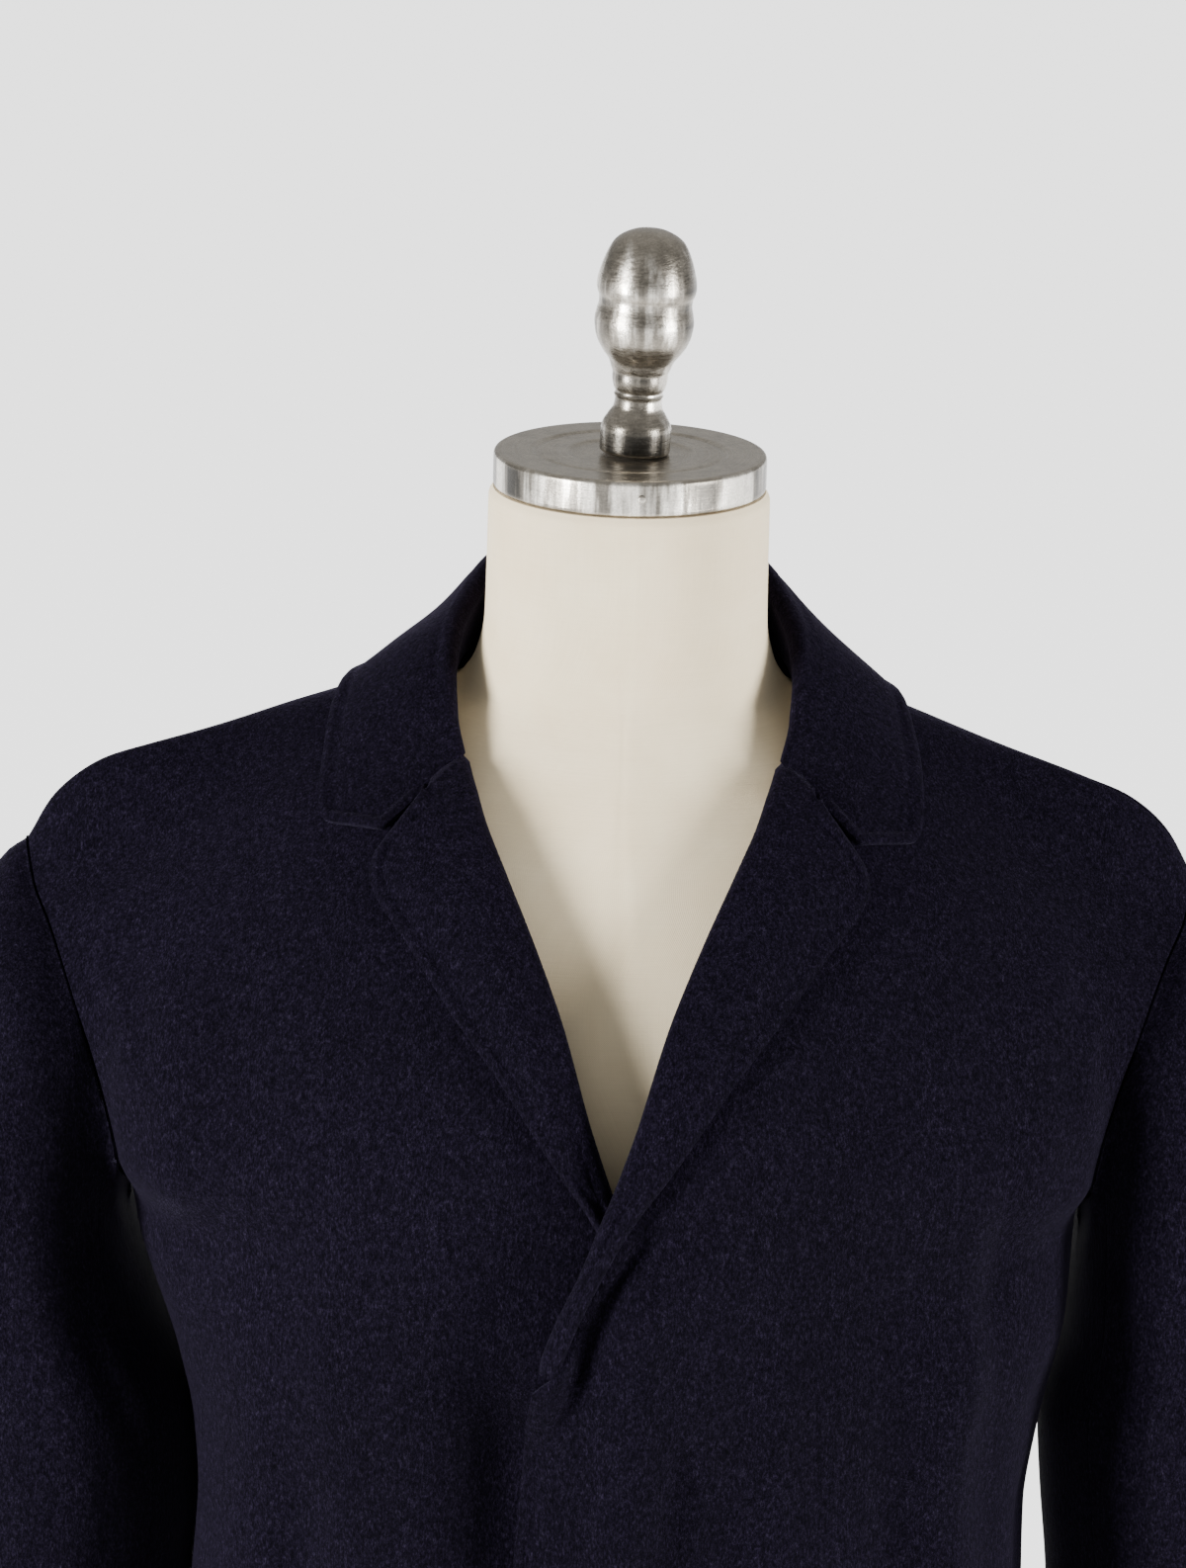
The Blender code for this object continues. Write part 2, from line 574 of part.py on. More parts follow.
def side_inward(downs):
    """The shared wall direction along a side seam below the underarm."""
    front = body_normal(np.full_like(downs, 0.999), downs)
    back = body_normal(np.full_like(downs, 0.999), -downs)
    return -CLOTH * unit(front + back)


def make_front(name, side, finish, collection):
    downs = PANEL_DOWNS[:, None]
    edge = front_edge_across(PANEL_DOWNS)[:, None]
    across = edge + (1 - edge) * spread(FRONT_COLUMNS)[None, :]
    outer, normal = front_face(side, across, downs)
    inward = -CLOTH * normal
    yoke = PANEL_DOWNS[:YOKE_COUNT]
    inward[:YOKE_COUNT, -1] = armhole_inward(yoke, False) * [side, 1, 1]
    inward[YOKE_COUNT:, -1] = side_inward(PANEL_DOWNS[YOKE_COUNT:]) * [side, 1, 1]
    pull_in(outer, 0, 0)
    pull_in(outer, 1, 1)
    return wall(name, outer, inward, finish, collection)


def make_back(name, finish, collection):
    shoulder = NECK_ACROSS + (1 - NECK_ACROSS) * spread(FRONT_COLUMNS)
    neck = np.linspace(-NECK_ACROSS, NECK_ACROSS, NECK_COLUMNS)[1:-1]
    across = np.concatenate([-shoulder[::-1], neck, shoulder])[None, :]
    downs = -PANEL_DOWNS[:, None]
    point = body(across, downs)
    normal = body_normal(across, downs)
    height = fold_height(point, -1) * (1 - ease((np.abs(across) - 0.85) / 0.15))
    outer = draw_in(point + normal * height[..., None])
    inward = -CLOTH * normal
    yoke = -PANEL_DOWNS[:YOKE_COUNT]
    lower = PANEL_DOWNS[YOKE_COUNT:]
    for end, side in ((-1, 1), (0, -1)):
        inward[:YOKE_COUNT, end] = armhole_inward(yoke, False) * [side, 1, 1]
        inward[YOKE_COUNT:, end] = side_inward(lower) * [side, 1, 1]
    pull_in(outer, 0, 0)
    pull_in(outer, 1, 0)
    pull_in(outer, 1, 1)
    return wall(name, outer, inward, finish, collection)


SLEEVE_ALONGS = np.array([0.0, 0.010, 0.025, 0.045, 0.070, 0.10, 0.13, 0.17, 0.22, 0.28, 0.36, 0.44,
                          0.52, 0.61])


def make_sleeve(side, upper_name, under_name, finish, collection):
    downs = np.concatenate([PANEL_DOWNS[YOKE_COUNT:0:-1], -PANEL_DOWNS[:YOKE_COUNT + 1]])
    around = (1 - downs / UNDERARM) / 2
    grid = sleeve(around[None, :], SLEEVE_ALONGS[:, None])
    normal = sleeve_normal(around[None, :], SLEEVE_ALONGS[:, None])
    inward = -CLOTH * normal
    inward[0] = armhole_inward(downs, True)
    at_underarm = ease((np.abs(downs) - 0.6 * UNDERARM) / (0.4 * UNDERARM))
    grid[0] += unit(grid[1] - grid[0]) * SEAM_HALF * 2
    grid[0, :, 0] += SLEEVE_PUSH
    seam_normal = body_normal(np.full_like(downs, 0.999), downs)
    push = smooth(UNDERARM_PUSH[0], np.array(UNDERARM_PUSH[1])[:, None], SLEEVE_ALONGS)
    grid += push[:, :, None] * (at_underarm[:, None] * seam_normal)[None]
    grid = arm_in(side, grid * [side, 1, 1])
    inward = inward * [side, 1, 1]
    last = grid.shape[1] - 1 - SLEEVE_BACK_SEAM
    upper = slice(SLEEVE_FRONT_SEAM, last + 1)
    upper_grid, upper_inward = grid[:, upper].copy(), inward[:, upper].copy()
    under_order = list(range(last, grid.shape[1] - 1)) + list(range(0, SLEEVE_FRONT_SEAM + 1))
    under_grid, under_inward = grid[:, under_order].copy(), inward[:, under_order].copy()
    apart = (SEAM_HALF + CORNER_GAP * (1 - ease(SLEEVE_ALONGS / CORNER_LENGTH)))[:, None]
    for piece in (upper_grid, under_grid):
        pull_in(piece, 1, 0, apart)
        pull_in(piece, 1, 1, apart)
    wall(upper_name, upper_grid, upper_inward, finish, collection)
    wall(under_name, under_grid, under_inward, finish, collection)


LAPEL_LEVELS = 16
LAPEL_COLUMNS = 5
TURN_STEPS = 4


def lapel_border(part):
    """Roll line and outer edge of the lapel, as x and down, from the gorge (0) to the break (1)."""
    table = np.array(LAPEL_ROWS)
    length = np.concatenate([[0.0], np.cumsum(np.hypot(np.diff(table[:, 2]), np.diff(table[:, 3])))])
    key = 0.5 * length / length[-1] + 0.5 * np.linspace(0.0, 1.0, len(table))
    roll_x, roll_z, edge_x, edge_z = smooth(key, table, part).T
    return roll_x, down_at(roll_x, roll_z), edge_x, down_at(edge_x, edge_z)


def make_lapel(name, side, finish, collection):
    part = np.linspace(0.0, 1.0, LAPEL_LEVELS)
    roll_x, roll_down, edge_x, edge_down = (values[:, None] for values in lapel_border(part))
    width = np.hypot(edge_x - roll_x, 0.6 * (edge_down - roll_down))
    shrink = np.clip(width / (3 * FOLD_RADIUS), 0.35, 1.0)
    start = FOLD_RADIUS / np.maximum(width, 2.2 * FOLD_RADIUS)
    columns = start + (1 - start) * np.linspace(0.0, 1.0, LAPEL_COLUMNS)[None, :]
    x = roll_x + (edge_x - roll_x) * columns
    down = roll_down + (edge_down - roll_down) * columns
    spring = LAPEL_SPRING * np.sin(math.pi * np.linspace(0.0, 1.0, LAPEL_COLUMNS))[None, :] * shrink
    top, top_normal = front_face(side, across_at(x, down), down, LAY + CLOTH + spring)
    behind_x = roll_x + FOLD_RADIUS + FACING_WIDTH * np.array([[1.0, 0.5, 0.0]])
    behind_down = roll_down + 0.0 * behind_x
    depth = -(2 * CLOTH + LAY + BEHIND_EXTRA)
    back, back_normal = front_face(side, across_at(behind_x, behind_down), behind_down, depth)
    centre = 0.5 * (top[:, :1] + back[:, -1:])
    arm = 0.5 * (top[:, :1] - back[:, -1:])
    tip = unit(np.cross(top[:, :1] - back[:, -1:], np.gradient(centre[:, 0], axis=0)[:, None]))
    toward = centre - top[:, 1:2]
    tip = tip * np.sign((tip * toward).sum(-1, keepdims=True))
    angle = np.linspace(0.0, math.pi, TURN_STEPS + 2)[1:-1][None, :, None]
    reach = np.linalg.norm(arm, axis=-1, keepdims=True)
    turn = centre - arm * np.cos(angle) + tip * reach * np.sin(angle)
    turn_normal = unit(turn - centre)
    outer = np.concatenate([back, turn, top], axis=1)
    inward = -CLOTH * np.concatenate([-back_normal, turn_normal, top_normal], axis=1)
    return wall(name, outer, inward, finish, collection)


COLLAR_HALF_STATIONS = 16
FALL_COLUMNS = 5


def collar_rails(part):
    """Crease, stand bottom, fall middle and fall edge at each station of the left half."""
    table = np.array(COLLAR_ROWS)
    key = np.linspace(0.0, 1.0, len(table))
    rows = smooth(key, table, part)
    crease, bottom = rows[:, 0:3], rows[:, 3:6]
    edge_x, edge_down, swell = rows[:, 6], rows[:, 7], rows[:, 8]
    edge_across = across_at(edge_x, edge_down)
    normal = body_normal(edge_across, edge_down)
    edge = body(edge_across, edge_down) + normal * (CLOTH + FALL_CLEARANCE)
    middle = 0.5 * (crease + edge) + normal * swell[:, None]
    notch_down = down_at(*NOTCH)
    notch_across = across_at(NOTCH[0], notch_down)
    notch = body(notch_across, notch_down)
    notch = notch + body_normal(notch_across, notch_down) * (CLOTH + 1.5 * FALL_CLEARANCE)
    bent = ease((part - 0.80) / 0.20)[:, None]
    middle = middle + (notch - middle) * bent
    return crease, bottom, middle, edge


def collar_section(part):
    """Outer face of the folded wall at each station: stand, turn, fall."""
    crease, bottom, middle, edge = collar_rails(part)
    tip = unit(crease - 0.5 * (bottom + middle))
    thick = middle - bottom
    thick = unit(thick - tip * (thick * tip).sum(-1, keepdims=True))
    centre = crease - tip * FOLD_RADIUS
    angles = np.linspace(0.0, math.pi, TURN_STEPS)
    turn = [centre + FOLD_RADIUS * (-thick * math.cos(a) + tip * math.sin(a)) for a in angles]
    stand = [bottom + (turn[0] - bottom) * share for share in (0.0, 0.35, 0.7)]
    fall = []
    straight = ease((part - 0.80) / 0.20)[:, None]
    for share in np.linspace(0.0, 1.0, FALL_COLUMNS)[1:]:
        weights = ((1 - share) * (1 - 2 * share), 4 * share * (1 - share), share * (2 * share - 1))
        curved = weights[0] * turn[-1] + weights[1] * middle + weights[2] * edge
        if share < 0.5:
            bent = turn[-1] + (middle - turn[-1]) * 2 * share
        else:
            bent = middle + (edge - middle) * (2 * share - 1)
        fall.append(curved + (bent - curved) * straight)
    return np.stack(stand + turn + fall, axis=1)


def grid_normal(grid):
    return unit(np.cross(np.gradient(grid, axis=0), np.gradient(grid, axis=1)))


def make_collar(name, finish, collection):
    half = collar_section(np.linspace(0.0, 1.0, COLLAR_HALF_STATIONS))
    other = half[:0:-1] * [-1, 1, 1]
    outer = np.concatenate([other, half])
    normal = grid_normal(outer)
    middle = COLLAR_HALF_STATIONS - 1
    if normal[middle, -1, 1] < 0:
        normal = -normal
    return wall(name, outer, -CLOTH * normal, finish, collection)


# ---------------------------------------------------------------- the dress form
def inside_coat(points):
    """Moves the canvas body's points in until they clear the coat's inner face."""
    across, down = np.meshgrid(np.linspace(-1.0, 1.0, 121), np.linspace(-0.45, 0.45, 181))
    skin = body(across, down).reshape(-1, 3)
    normal = body_normal(across, down).reshape(-1, 3)
    nearest = np.array([np.argmin(((skin - point) ** 2).sum(-1)) for point in points])
    height = ((points - skin[nearest]) * normal[nearest]).sum(-1)
    x, y = np.abs(points[:, 0]), points[:, 1]
    collar_room = COLLAR_ROOM * ease((0.125 - x) / 0.025) * ease((0.030 - y) / 0.020)
    excess = np.maximum(height + CLOTH + FORM_CLEARANCE + collar_room, 0.0)
    coat_part = ease((1.4660 - points[:, 2]) / 0.0060) * (points[:, 2] > 1.0)
    return points - normal[nearest] * (excess * coat_part)[:, None]


def make_form_body(name, finish, collection):
    """Rings from the neck down to the flat underside, closed at both ends."""
    outline = []
    for z, half_width, front, back, exponent in FORM_ROWS:
        for step in range(FORM_SEGMENTS):
            angle = 2 * math.pi * step / FORM_SEGMENTS
            cosine, sine = math.cos(angle), math.sin(angle)
            x = half_width * math.copysign(abs(cosine) ** (2 / exponent), cosine)
            depth = back if sine > 0 else front
            outline.append((x, depth * math.copysign(abs(sine) ** (2 / exponent), sine), z))
    points = hang(inside_coat(np.array(outline)))
    shell = bmesh.new()
    corners = [shell.verts.new(point) for point in points.tolist()]
    rings = [corners[start:start + FORM_SEGMENTS] for start in range(0, len(corners), FORM_SEGMENTS)]
    for upper, lower in zip(rings, rings[1:]):
        for step in range(FORM_SEGMENTS):
            after = (step + 1) % FORM_SEGMENTS
            shell.faces.new((upper[step], lower[step], lower[after], upper[after]))
    shell.faces.new(rings[0])
    shell.faces.new(rings[-1][::-1])
    mesh = bpy.data.meshes.new(name)
    shell.to_mesh(mesh)
    shell.free()
    mesh.shade_smooth()
    mesh.set_sharp_from_angle(angle=math.radians(40))
    return link(name, mesh, finish, collection)


def make_pole(name, finish, collection):
    bottom = FOOT_HEIGHT + 0.0003
    top = FORM_BOTTOM - 0.0003
    bpy.ops.mesh.primitive_cylinder_add(vertices=TURN_SEGMENTS, radius=POLE_RADIUS, depth=top - bottom,
                                        location=(0.0, 0.0, 0.5 * (bottom + top)))
    pole = bpy.context.object
    for owner in pole.users_collection:
        owner.objects.unlink(pole)
    collection.objects.link(pole)
    pole.name = name
    pole.data.materials.append(finish)
    return pole


def make_pin(name, finish, collection):
    """The small round-headed pin in the cap's rim."""
    radius = 0.0017
    swing = math.radians(-85.0)
    reach = NECK_CAP_RADIUS + 0.0004
    bpy.ops.mesh.primitive_uv_sphere_add(segments=8, ring_count=6, radius=radius)
    pin = bpy.context.object
    for owner in pin.users_collection:
        owner.objects.unlink(pin)
    collection.objects.link(pin)
    pin.name = name
    pin.data.materials.append(finish)
    pin.scale = (0.4, 1.0, 1.0)
    place = reach + 0.4 * radius
    pin.location = (place * math.cos(swing), place * math.sin(swing), CAP_TOP - 0.0075)
    pin.rotation_euler = (0.0, 0.0, swing)
    return pin


def build():
    for old in list(bpy.data.objects):
        bpy.data.objects.remove(old)
    collection = bpy.data.collections.new("wool_overcoat")
    bpy.context.scene.collection.children.link(collection)
    wool = material("wool", NAVY, 0.9)
    canvas = material("canvas", CANVAS, 0.8)
    metal = material("metal", METAL, 0.35, 1.0)
    make_front("coat_front_left", 1, wool, collection)
    make_front("coat_front_right", -1, wool, collection)
    make_back("coat_back", wool, collection)
    make_sleeve(1, "sleeve_upper_left", "sleeve_under_left", wool, collection)
    make_sleeve(-1, "sleeve_upper_right", "sleeve_under_right", wool, collection)
    make_lapel("lapel_left", 1, wool, collection)
    make_lapel("lapel_right", -1, wool, collection)
    make_collar("collar", wool, collection)
    make_form_body("form_body", canvas, collection)
    cap_bottom = CAP_TOP - NECK_CAP_HEIGHT
    turned("form_cap", CAP_PROFILE, metal, collection, (0.0, 0.0, cap_bottom))
    turned("form_knob", KNOB_PROFILE, metal, collection, (0.0017, 0.0, CAP_TOP - 0.0001), KNOB_LEAN)
    make_pin("form_cap_pin", metal, collection)
    make_pole("form_pole", metal, collection)
    turned("form_foot", FOOT_PROFILE, metal, collection, (0.0, 0.0, 0.0))


build()
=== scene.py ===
"""The looks of a navy wool overcoat on a tailor's dress form.

The frame's solids are dressed in fine shells that follow the same sizes and formulas. Metres, +Z up,
the coat's front faces -Y and +X is the wearer's left.
"""
import math

import bpy
import numpy as np
from mathutils import Matrix, Vector
from mathutils.kdtree import KDTree


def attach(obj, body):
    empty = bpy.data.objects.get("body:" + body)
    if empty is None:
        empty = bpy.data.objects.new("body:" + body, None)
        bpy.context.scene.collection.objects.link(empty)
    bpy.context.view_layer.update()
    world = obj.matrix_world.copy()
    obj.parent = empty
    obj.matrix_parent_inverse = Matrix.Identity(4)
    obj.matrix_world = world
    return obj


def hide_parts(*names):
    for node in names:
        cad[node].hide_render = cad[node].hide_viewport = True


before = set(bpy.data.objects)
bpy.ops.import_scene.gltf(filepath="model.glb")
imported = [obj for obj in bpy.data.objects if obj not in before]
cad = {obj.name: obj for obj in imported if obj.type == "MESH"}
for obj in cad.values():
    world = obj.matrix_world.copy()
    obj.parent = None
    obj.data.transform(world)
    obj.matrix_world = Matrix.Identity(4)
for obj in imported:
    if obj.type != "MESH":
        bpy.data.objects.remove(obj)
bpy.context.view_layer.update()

# -------- camera
PHOTO_HEIGHT = 1586      # pixels
FOCAL_PIXELS = 6920.0    # the focal length in those pixels
SENSOR = 36.0            # millimetres
CAMERA_PLACE = (-0.0126, -2.924, 2.230)
LOOKS_DOWN = 15.7        # degrees below the horizon
LEAN = 1.5               # degrees that the picture is turned
FAR_LIMIT = 200.0
camera_data = bpy.data.cameras.new("camera")
camera_data.sensor_width = SENSOR
camera_data.lens = FOCAL_PIXELS * SENSOR / PHOTO_HEIGHT
camera_data.clip_end = FAR_LIMIT
camera = bpy.data.objects.new("camera", camera_data)
bpy.context.scene.collection.objects.link(camera)
camera.matrix_world = (Matrix.Translation(CAMERA_PLACE)
                       @ Matrix.Rotation(math.radians(90 - LOOKS_DOWN), 4, "X")
                       @ Matrix.Rotation(math.radians(LEAN), 4, "Z"))
bpy.context.scene.camera = camera

# -------- the garment's sizes, as in the solids
CAP_TOP = 1.560          # top face of the neck cap above the floor
CLOTH = 0.0025           # wall of the double-faced wool
SEAM_HALF = 0.0002       # each piece stops this far short of a seam line
LAY = 0.0014             # clearance of a piece that lies on another
FALL_CLEARANCE = 0.0020  # the same under the edge of the collar, which bridges the shoulder
FOLD_RADIUS = 0.0052     # outside radius where the collar and the lapels turn over
HEM_HEIGHT = 0.460       # hem above the floor
UNDERARM = 0.285         # length down the front or the back from the shoulder ridge to the underarm
NECK_CAP_HEIGHT = 0.016
KNOB_LEAN = math.radians(2.7)  # the finial stands a little askew
KNOB_PLACE = (0.0017, 0.0, CAP_TOP - 0.0001)
FOOT_HEIGHT = 0.018
FORM_BOTTOM = 0.800      # underside of the canvas body

# The shoulder ridge, from the centre back of the neck hole to the top of the armhole.
# columns: x, y, z
RIDGE = (
    (0.0000, 0.078, 1.472),
    (0.0400, 0.070, 1.471),
    (0.0670, 0.042, 1.467),
    (0.0800, 0.008, 1.462),
    (0.1220, 0.004, 1.4495),
    (0.1650, 0.003, 1.4346),
    (0.2060, 0.003, 1.4200),
    (0.2250, 0.004, 1.4120),
    (0.2430, 0.006, 1.3970),
    (0.2560, 0.008, 1.3750),
)
RIDGE_NECK_POINT = 3     # the row of RIDGE where the shoulder seam meets the neck

# The coat's outer face: one row for each level, half of the body, the other half is its mirror.
# columns: down (length from the ridge, minus on the back), centre y, centre z, side x, side y, side z,
# turn (0: the row runs straight into its side point, 1: it turns round there as on a barrel)
BODY_ROWS = (
    (-1.050, 0.150, HEM_HEIGHT, 0.2450, 0.020, HEM_HEIGHT, 1.00),
    (-0.640, 0.138, 0.880, 0.2040, 0.000, 0.880, 1.00),
    (-0.430, 0.124, 1.085, 0.1905, -0.030, 1.085, 1.00),
    (-0.395, 0.126, 1.118, 0.1950, -0.024, 1.118, 1.00),
    (-0.335, 0.129, 1.170, 0.2052, -0.022, 1.170, 1.00),
    (-0.285, 0.132, 1.215, 0.2092, -0.006, 1.215, 1.00),
    (-0.230, 0.134, 1.275, 0.2190, 0.066, 1.247, 0.75),
    (-0.165, 0.130, 1.342, 0.2320, 0.070, 1.303, 0.45),
    (-0.090, 0.112, 1.416, 0.2470, 0.040, 1.351, 0.20),
    (0.045, -0.064, 1.445, 0.2520, -0.009, 1.360, 0.10),
    (0.090, -0.097, 1.408, 0.2440, -0.026, 1.346, 0.20),
    (0.165, -0.129, 1.338, 0.2270, -0.050, 1.302, 0.45),
    (0.230, -0.145, 1.272, 0.2135, -0.050, 1.246, 0.80),
    (0.285, -0.151, 1.215, 0.2092, -0.006, 1.215, 1.00),
    (0.335, -0.152, 1.170, 0.2052, -0.022, 1.170, 1.00),
    (0.395, -0.152, 1.118, 0.1950, -0.024, 1.118, 1.00),
    (0.430, -0.153, 1.085, 0.1905, -0.030, 1.085, 1.00),
    (0.640, -0.153, 0.880, 0.2040, 0.000, 0.880, 1.00),
    (1.050, -0.165, HEM_HEIGHT, 0.2450, 0.020, HEM_HEIGHT, 1.00),
)
RIDGE_PLACE = 9          # the ridge goes between the last back row and the first front row
FULLNESS = 0.60          # how far a row runs straight from the centre before it turns back
TURN_DEPTH = 0.55        # the same at its side

# The wearer's left front edge: the roll line of the lapel down to the break, then the lapping edge.
# columns: z, x
FRONT_EDGE = (
    (HEM_HEIGHT, -0.0420),
    (0.9000, -0.0410),
    (1.0963, -0.0387),
    (1.1404, -0.0358),
    (1.1679, -0.0332),
    (1.1862, -0.0294),
    (1.1999, -0.0254),
    (1.2270, -0.0133),
    (1.2456, -0.0053),
    (1.2684, 0.0000),
    (1.2942, 0.0105),
    (1.3393, 0.0247),
    (1.3756, 0.0399),
    (1.4091, 0.0570),
    (1.4356, 0.0682),
)
BREAK_HEIGHT = 1.1800    # where the lapel starts to turn over
BREAK_LENGTH = 0.0110    # length over which it comes to lie round the front's edge

# The lapel, from the gorge down to the break.
# columns: roll x, roll z, outer edge x, outer edge z
LAPEL_ROWS = (
    (0.0680, 1.4350, 0.1004, 1.4026),
    (0.0656, 1.4296, 0.1054, 1.3954),
    (0.0635, 1.4250, 0.1070, 1.3880),
    (0.0590, 1.4140, 0.1040, 1.3810),
    (0.0500, 1.3960, 0.0912, 1.3656),
    (0.0400, 1.3750, 0.0696, 1.3374),
    (0.0247, 1.3390, 0.0480, 1.3105),
    (0.0105, 1.2949, 0.0270, 1.2805),
    (-0.0020, 1.2600, 0.0080, 1.2540),
    (-0.0133, 1.2277, -0.0045, 1.2300),
    (-0.0215, 1.2090, -0.0125, 1.2120),
    (-0.0294, 1.1863, -0.0205, 1.1890),
)
LAPEL_SPRING = 0.0022    # how far the middle of a lapel stands off the front
EDGE_RECESS = 0.0020     # how far the front's own edge lies back from the middle of that turn
BEHIND_EXTRA = 0.0006    # extra clearance of the facing behind the front
FACING_WIDTH = 0.010     # part of the facing that stays behind the front's edge

# The lift of the lapping front over the other one near the centre, by height.
# columns: z, lift
LAP_LIFT = (
    (HEM_HEIGHT, 0.0052),
    (1.1300, 0.0058),
    (1.1900, 0.0098),
    (1.2450, 0.0128),
    (1.2900, 0.0120),
    (1.3500, 0.0050),
    (1.4500, 0.0000),
)
LEFT_DROP = 0.004        # the wearer's left shoulder hangs lower by this
RIGHT_REACH = 0.008      # the wearer's right shoulder reaches further out by this
WAIST_IN = 0.0100        # how far the wearer's right side is drawn in under the arm
WAIST_TOP = 1.220        # height where that begins
WAIST_BOTTOM = 0.900     # height where it has run out
ARM_IN = 0.0190          # how much closer the wearer's right sleeve hangs to the body
ARM_IN_TOP = 1.215       # height where it begins to swing in
ARM_IN_SPAN = 0.150      # length over which it does
LIFT_FULL = 0.030        # x up to which the lapping front's lift is full
LIFT_END = 0.110         # x where that lift has run out
HIDDEN_REACH = -0.035    # the right front is smooth up to this far on its own side of the centre
HIDDEN_FADE = 0.020

# Soft drape folds raised in the cloth: ridges are plus, troughs minus.
# columns: face (1 front, -1 back), top x, top z, bottom x, bottom z, width, height
FOLDS = (
    (1, 0.014, 1.225, 0.004, 0.900, 0.013, 0.0040),
    (1, 0.150, 1.330, 0.150, 0.800, 0.020, 0.0050),
    (1, 0.126, 1.260, 0.128, 0.980, 0.014, -0.0040),
    (1, 0.108, 1.230, 0.102, 0.700, 0.018, 0.0040),
    (1, 0.186, 1.370, 0.190, 1.240, 0.016, 0.0040),
    (1, -0.186, 1.360, -0.192, 1.210, 0.016, 0.0055),
    (1, -0.165, 1.230, -0.160, 0.700, 0.020, 0.0060),
    (1, -0.135, 1.180, -0.130, 0.800, 0.018, -0.0050),
    (1, -0.070, 1.200, -0.085, 0.600, 0.026, -0.0040),
    (-1, 0.120, 1.360, 0.110, 0.800, 0.026, 0.0050),
    (-1, -0.126, 1.330, -0.118, 0.700, 0.028, 0.0050),
    (-1, 0.060, 1.100, 0.070, 0.500, 0.030, -0.0060),
    (-1, -0.050, 1.050, -0.062, 0.500, 0.030, -0.0060),
)

# The collar, a wall folded along its crease: one row for each section, from the centre back to the gorge.
# columns: crease x, y, z; stand bottom x, y, z; fall edge x, fall edge down, fall middle swell
COLLAR_ROWS = (
    (0.0000, 0.0695, 1.5120, 0.0000, 0.0715, 1.4710, 0.0000, -0.0400, 0.0040),
    (0.0300, 0.0635, 1.5110, 0.0320, 0.0630, 1.4700, 0.0450, -0.0390, 0.0040),
    (0.0540, 0.0440, 1.5050, 0.0560, 0.0420, 1.4670, 0.0860, -0.0330, 0.0035),
    (0.0670, 0.0160, 1.4940, 0.0715, 0.0120, 1.4620, 0.1120, -0.0170, 0.0030),
    (0.0735, -0.0080, 1.4820, 0.0750, -0.0020, 1.4560, 0.1230, 0.0040, 0.0030),
    (0.0748, -0.0280, 1.4680, 0.0780, -0.0130, 1.4480, 0.1290, 0.0270, 0.0030),
    (0.0725, -0.0440, 1.4510, 0.0790, -0.0300, 1.4370, 0.1303, 0.0440, 0.0020),
    (0.0685, -0.0560, 1.4365, 0.0790, -0.0460, 1.4260, 0.1288, 0.0598, 0.0000),
)
NOTCH = (0.1014, 1.4052)  # x and z where the collar's lower edge meets the gorge
COLLAR_HALF_STATIONS = 120
TURN_STEPS = 12          # points round the crease
FALL_COLUMNS = 30

# A sleeve below its armhole seam: one row for each ring.
# columns: along, inner x, inner z, outer x, outer z, centre y, half depth
SLEEVE_ROWS = (
    (0.035, 0.2095, 1.190, 0.2770, 1.348, 0.010, 0.0730),
    (0.090, 0.2072, 1.160, 0.2970, 1.298, 0.008, 0.0790),
    (0.170, 0.1985, 1.112, 0.3120, 1.215, 0.006, 0.0800),
    (0.280, 0.2050, 1.040, 0.3220, 1.095, 0.004, 0.0760),
    (0.440, 0.2240, 0.900, 0.3300, 0.920, -0.012, 0.0660),
    (0.610, 0.2420, 0.752, 0.3340, 0.742, -0.036, 0.0570),
)
SLEEVE_PUSH = 0.0008     # the sleeve's seam edge stands this far outside the armhole's
# how far the sleeve is held off the body under the arm: along, distance
UNDERARM_PUSH = ((0.0, 0.010, 0.035, 0.090, 0.610), (0.0014, 0.0022, 0.0016, 0.0, 0.0))
MITRE_FROM = 0.40        # two walls share a mitred seam where their normals agree by more than this,
MITRE_SPAN = 0.50        # fully so from this much more
MITRE_LEAST = 0.77       # a mitred wall is never longer than this allows
SMALL = 1e-4             # step for slopes

# The canvas body: one row for each ring.
# columns: z, half width, front depth, back depth, exponent of the outline
FORM_ROWS = (
    (1.5437, 0.0600, 0.0600, 0.0600, 2.0),
    (1.5400, 0.0618, 0.0618, 0.0618, 2.0),
    (1.5100, 0.0620, 0.0620, 0.0620, 2.0),
    (1.4850, 0.0624, 0.0625, 0.0628, 2.0),
    (1.4700, 0.0655, 0.0635, 0.0640, 1.9),
    (1.4600, 0.0740, 0.0645, 0.0660, 1.6),
    (1.4530, 0.0930, 0.0655, 0.0690, 1.35),
    (1.4440, 0.1240, 0.0670, 0.0730, 1.25),
    (1.4300, 0.1650, 0.0710, 0.0790, 1.25),
    (1.4155, 0.2020, 0.0770, 0.0840, 1.25),
    (1.4000, 0.2120, 0.0840, 0.0880, 1.35),
    (1.3800, 0.2140, 0.0930, 0.0920, 1.50),
    (1.3500, 0.2110, 0.1040, 0.0960, 1.70),
    (1.3000, 0.2010, 0.1170, 0.1000, 1.90),
    (1.2400, 0.1830, 0.1250, 0.1010, 2.05),
    (1.1700, 0.1640, 0.1210, 0.0930, 2.1),
    (1.0900, 0.1520, 0.1080, 0.0830, 2.1),
    (1.0000, 0.1600, 0.1050, 0.0920, 2.1),
    (0.9000, 0.1740, 0.1120, 0.1080, 2.1),
    (FORM_BOTTOM, 0.1760, 0.1130, 0.1080, 2.1),
)
FORM_CLEARANCE = 0.00165  # between the canvas and the coat where the coat rests
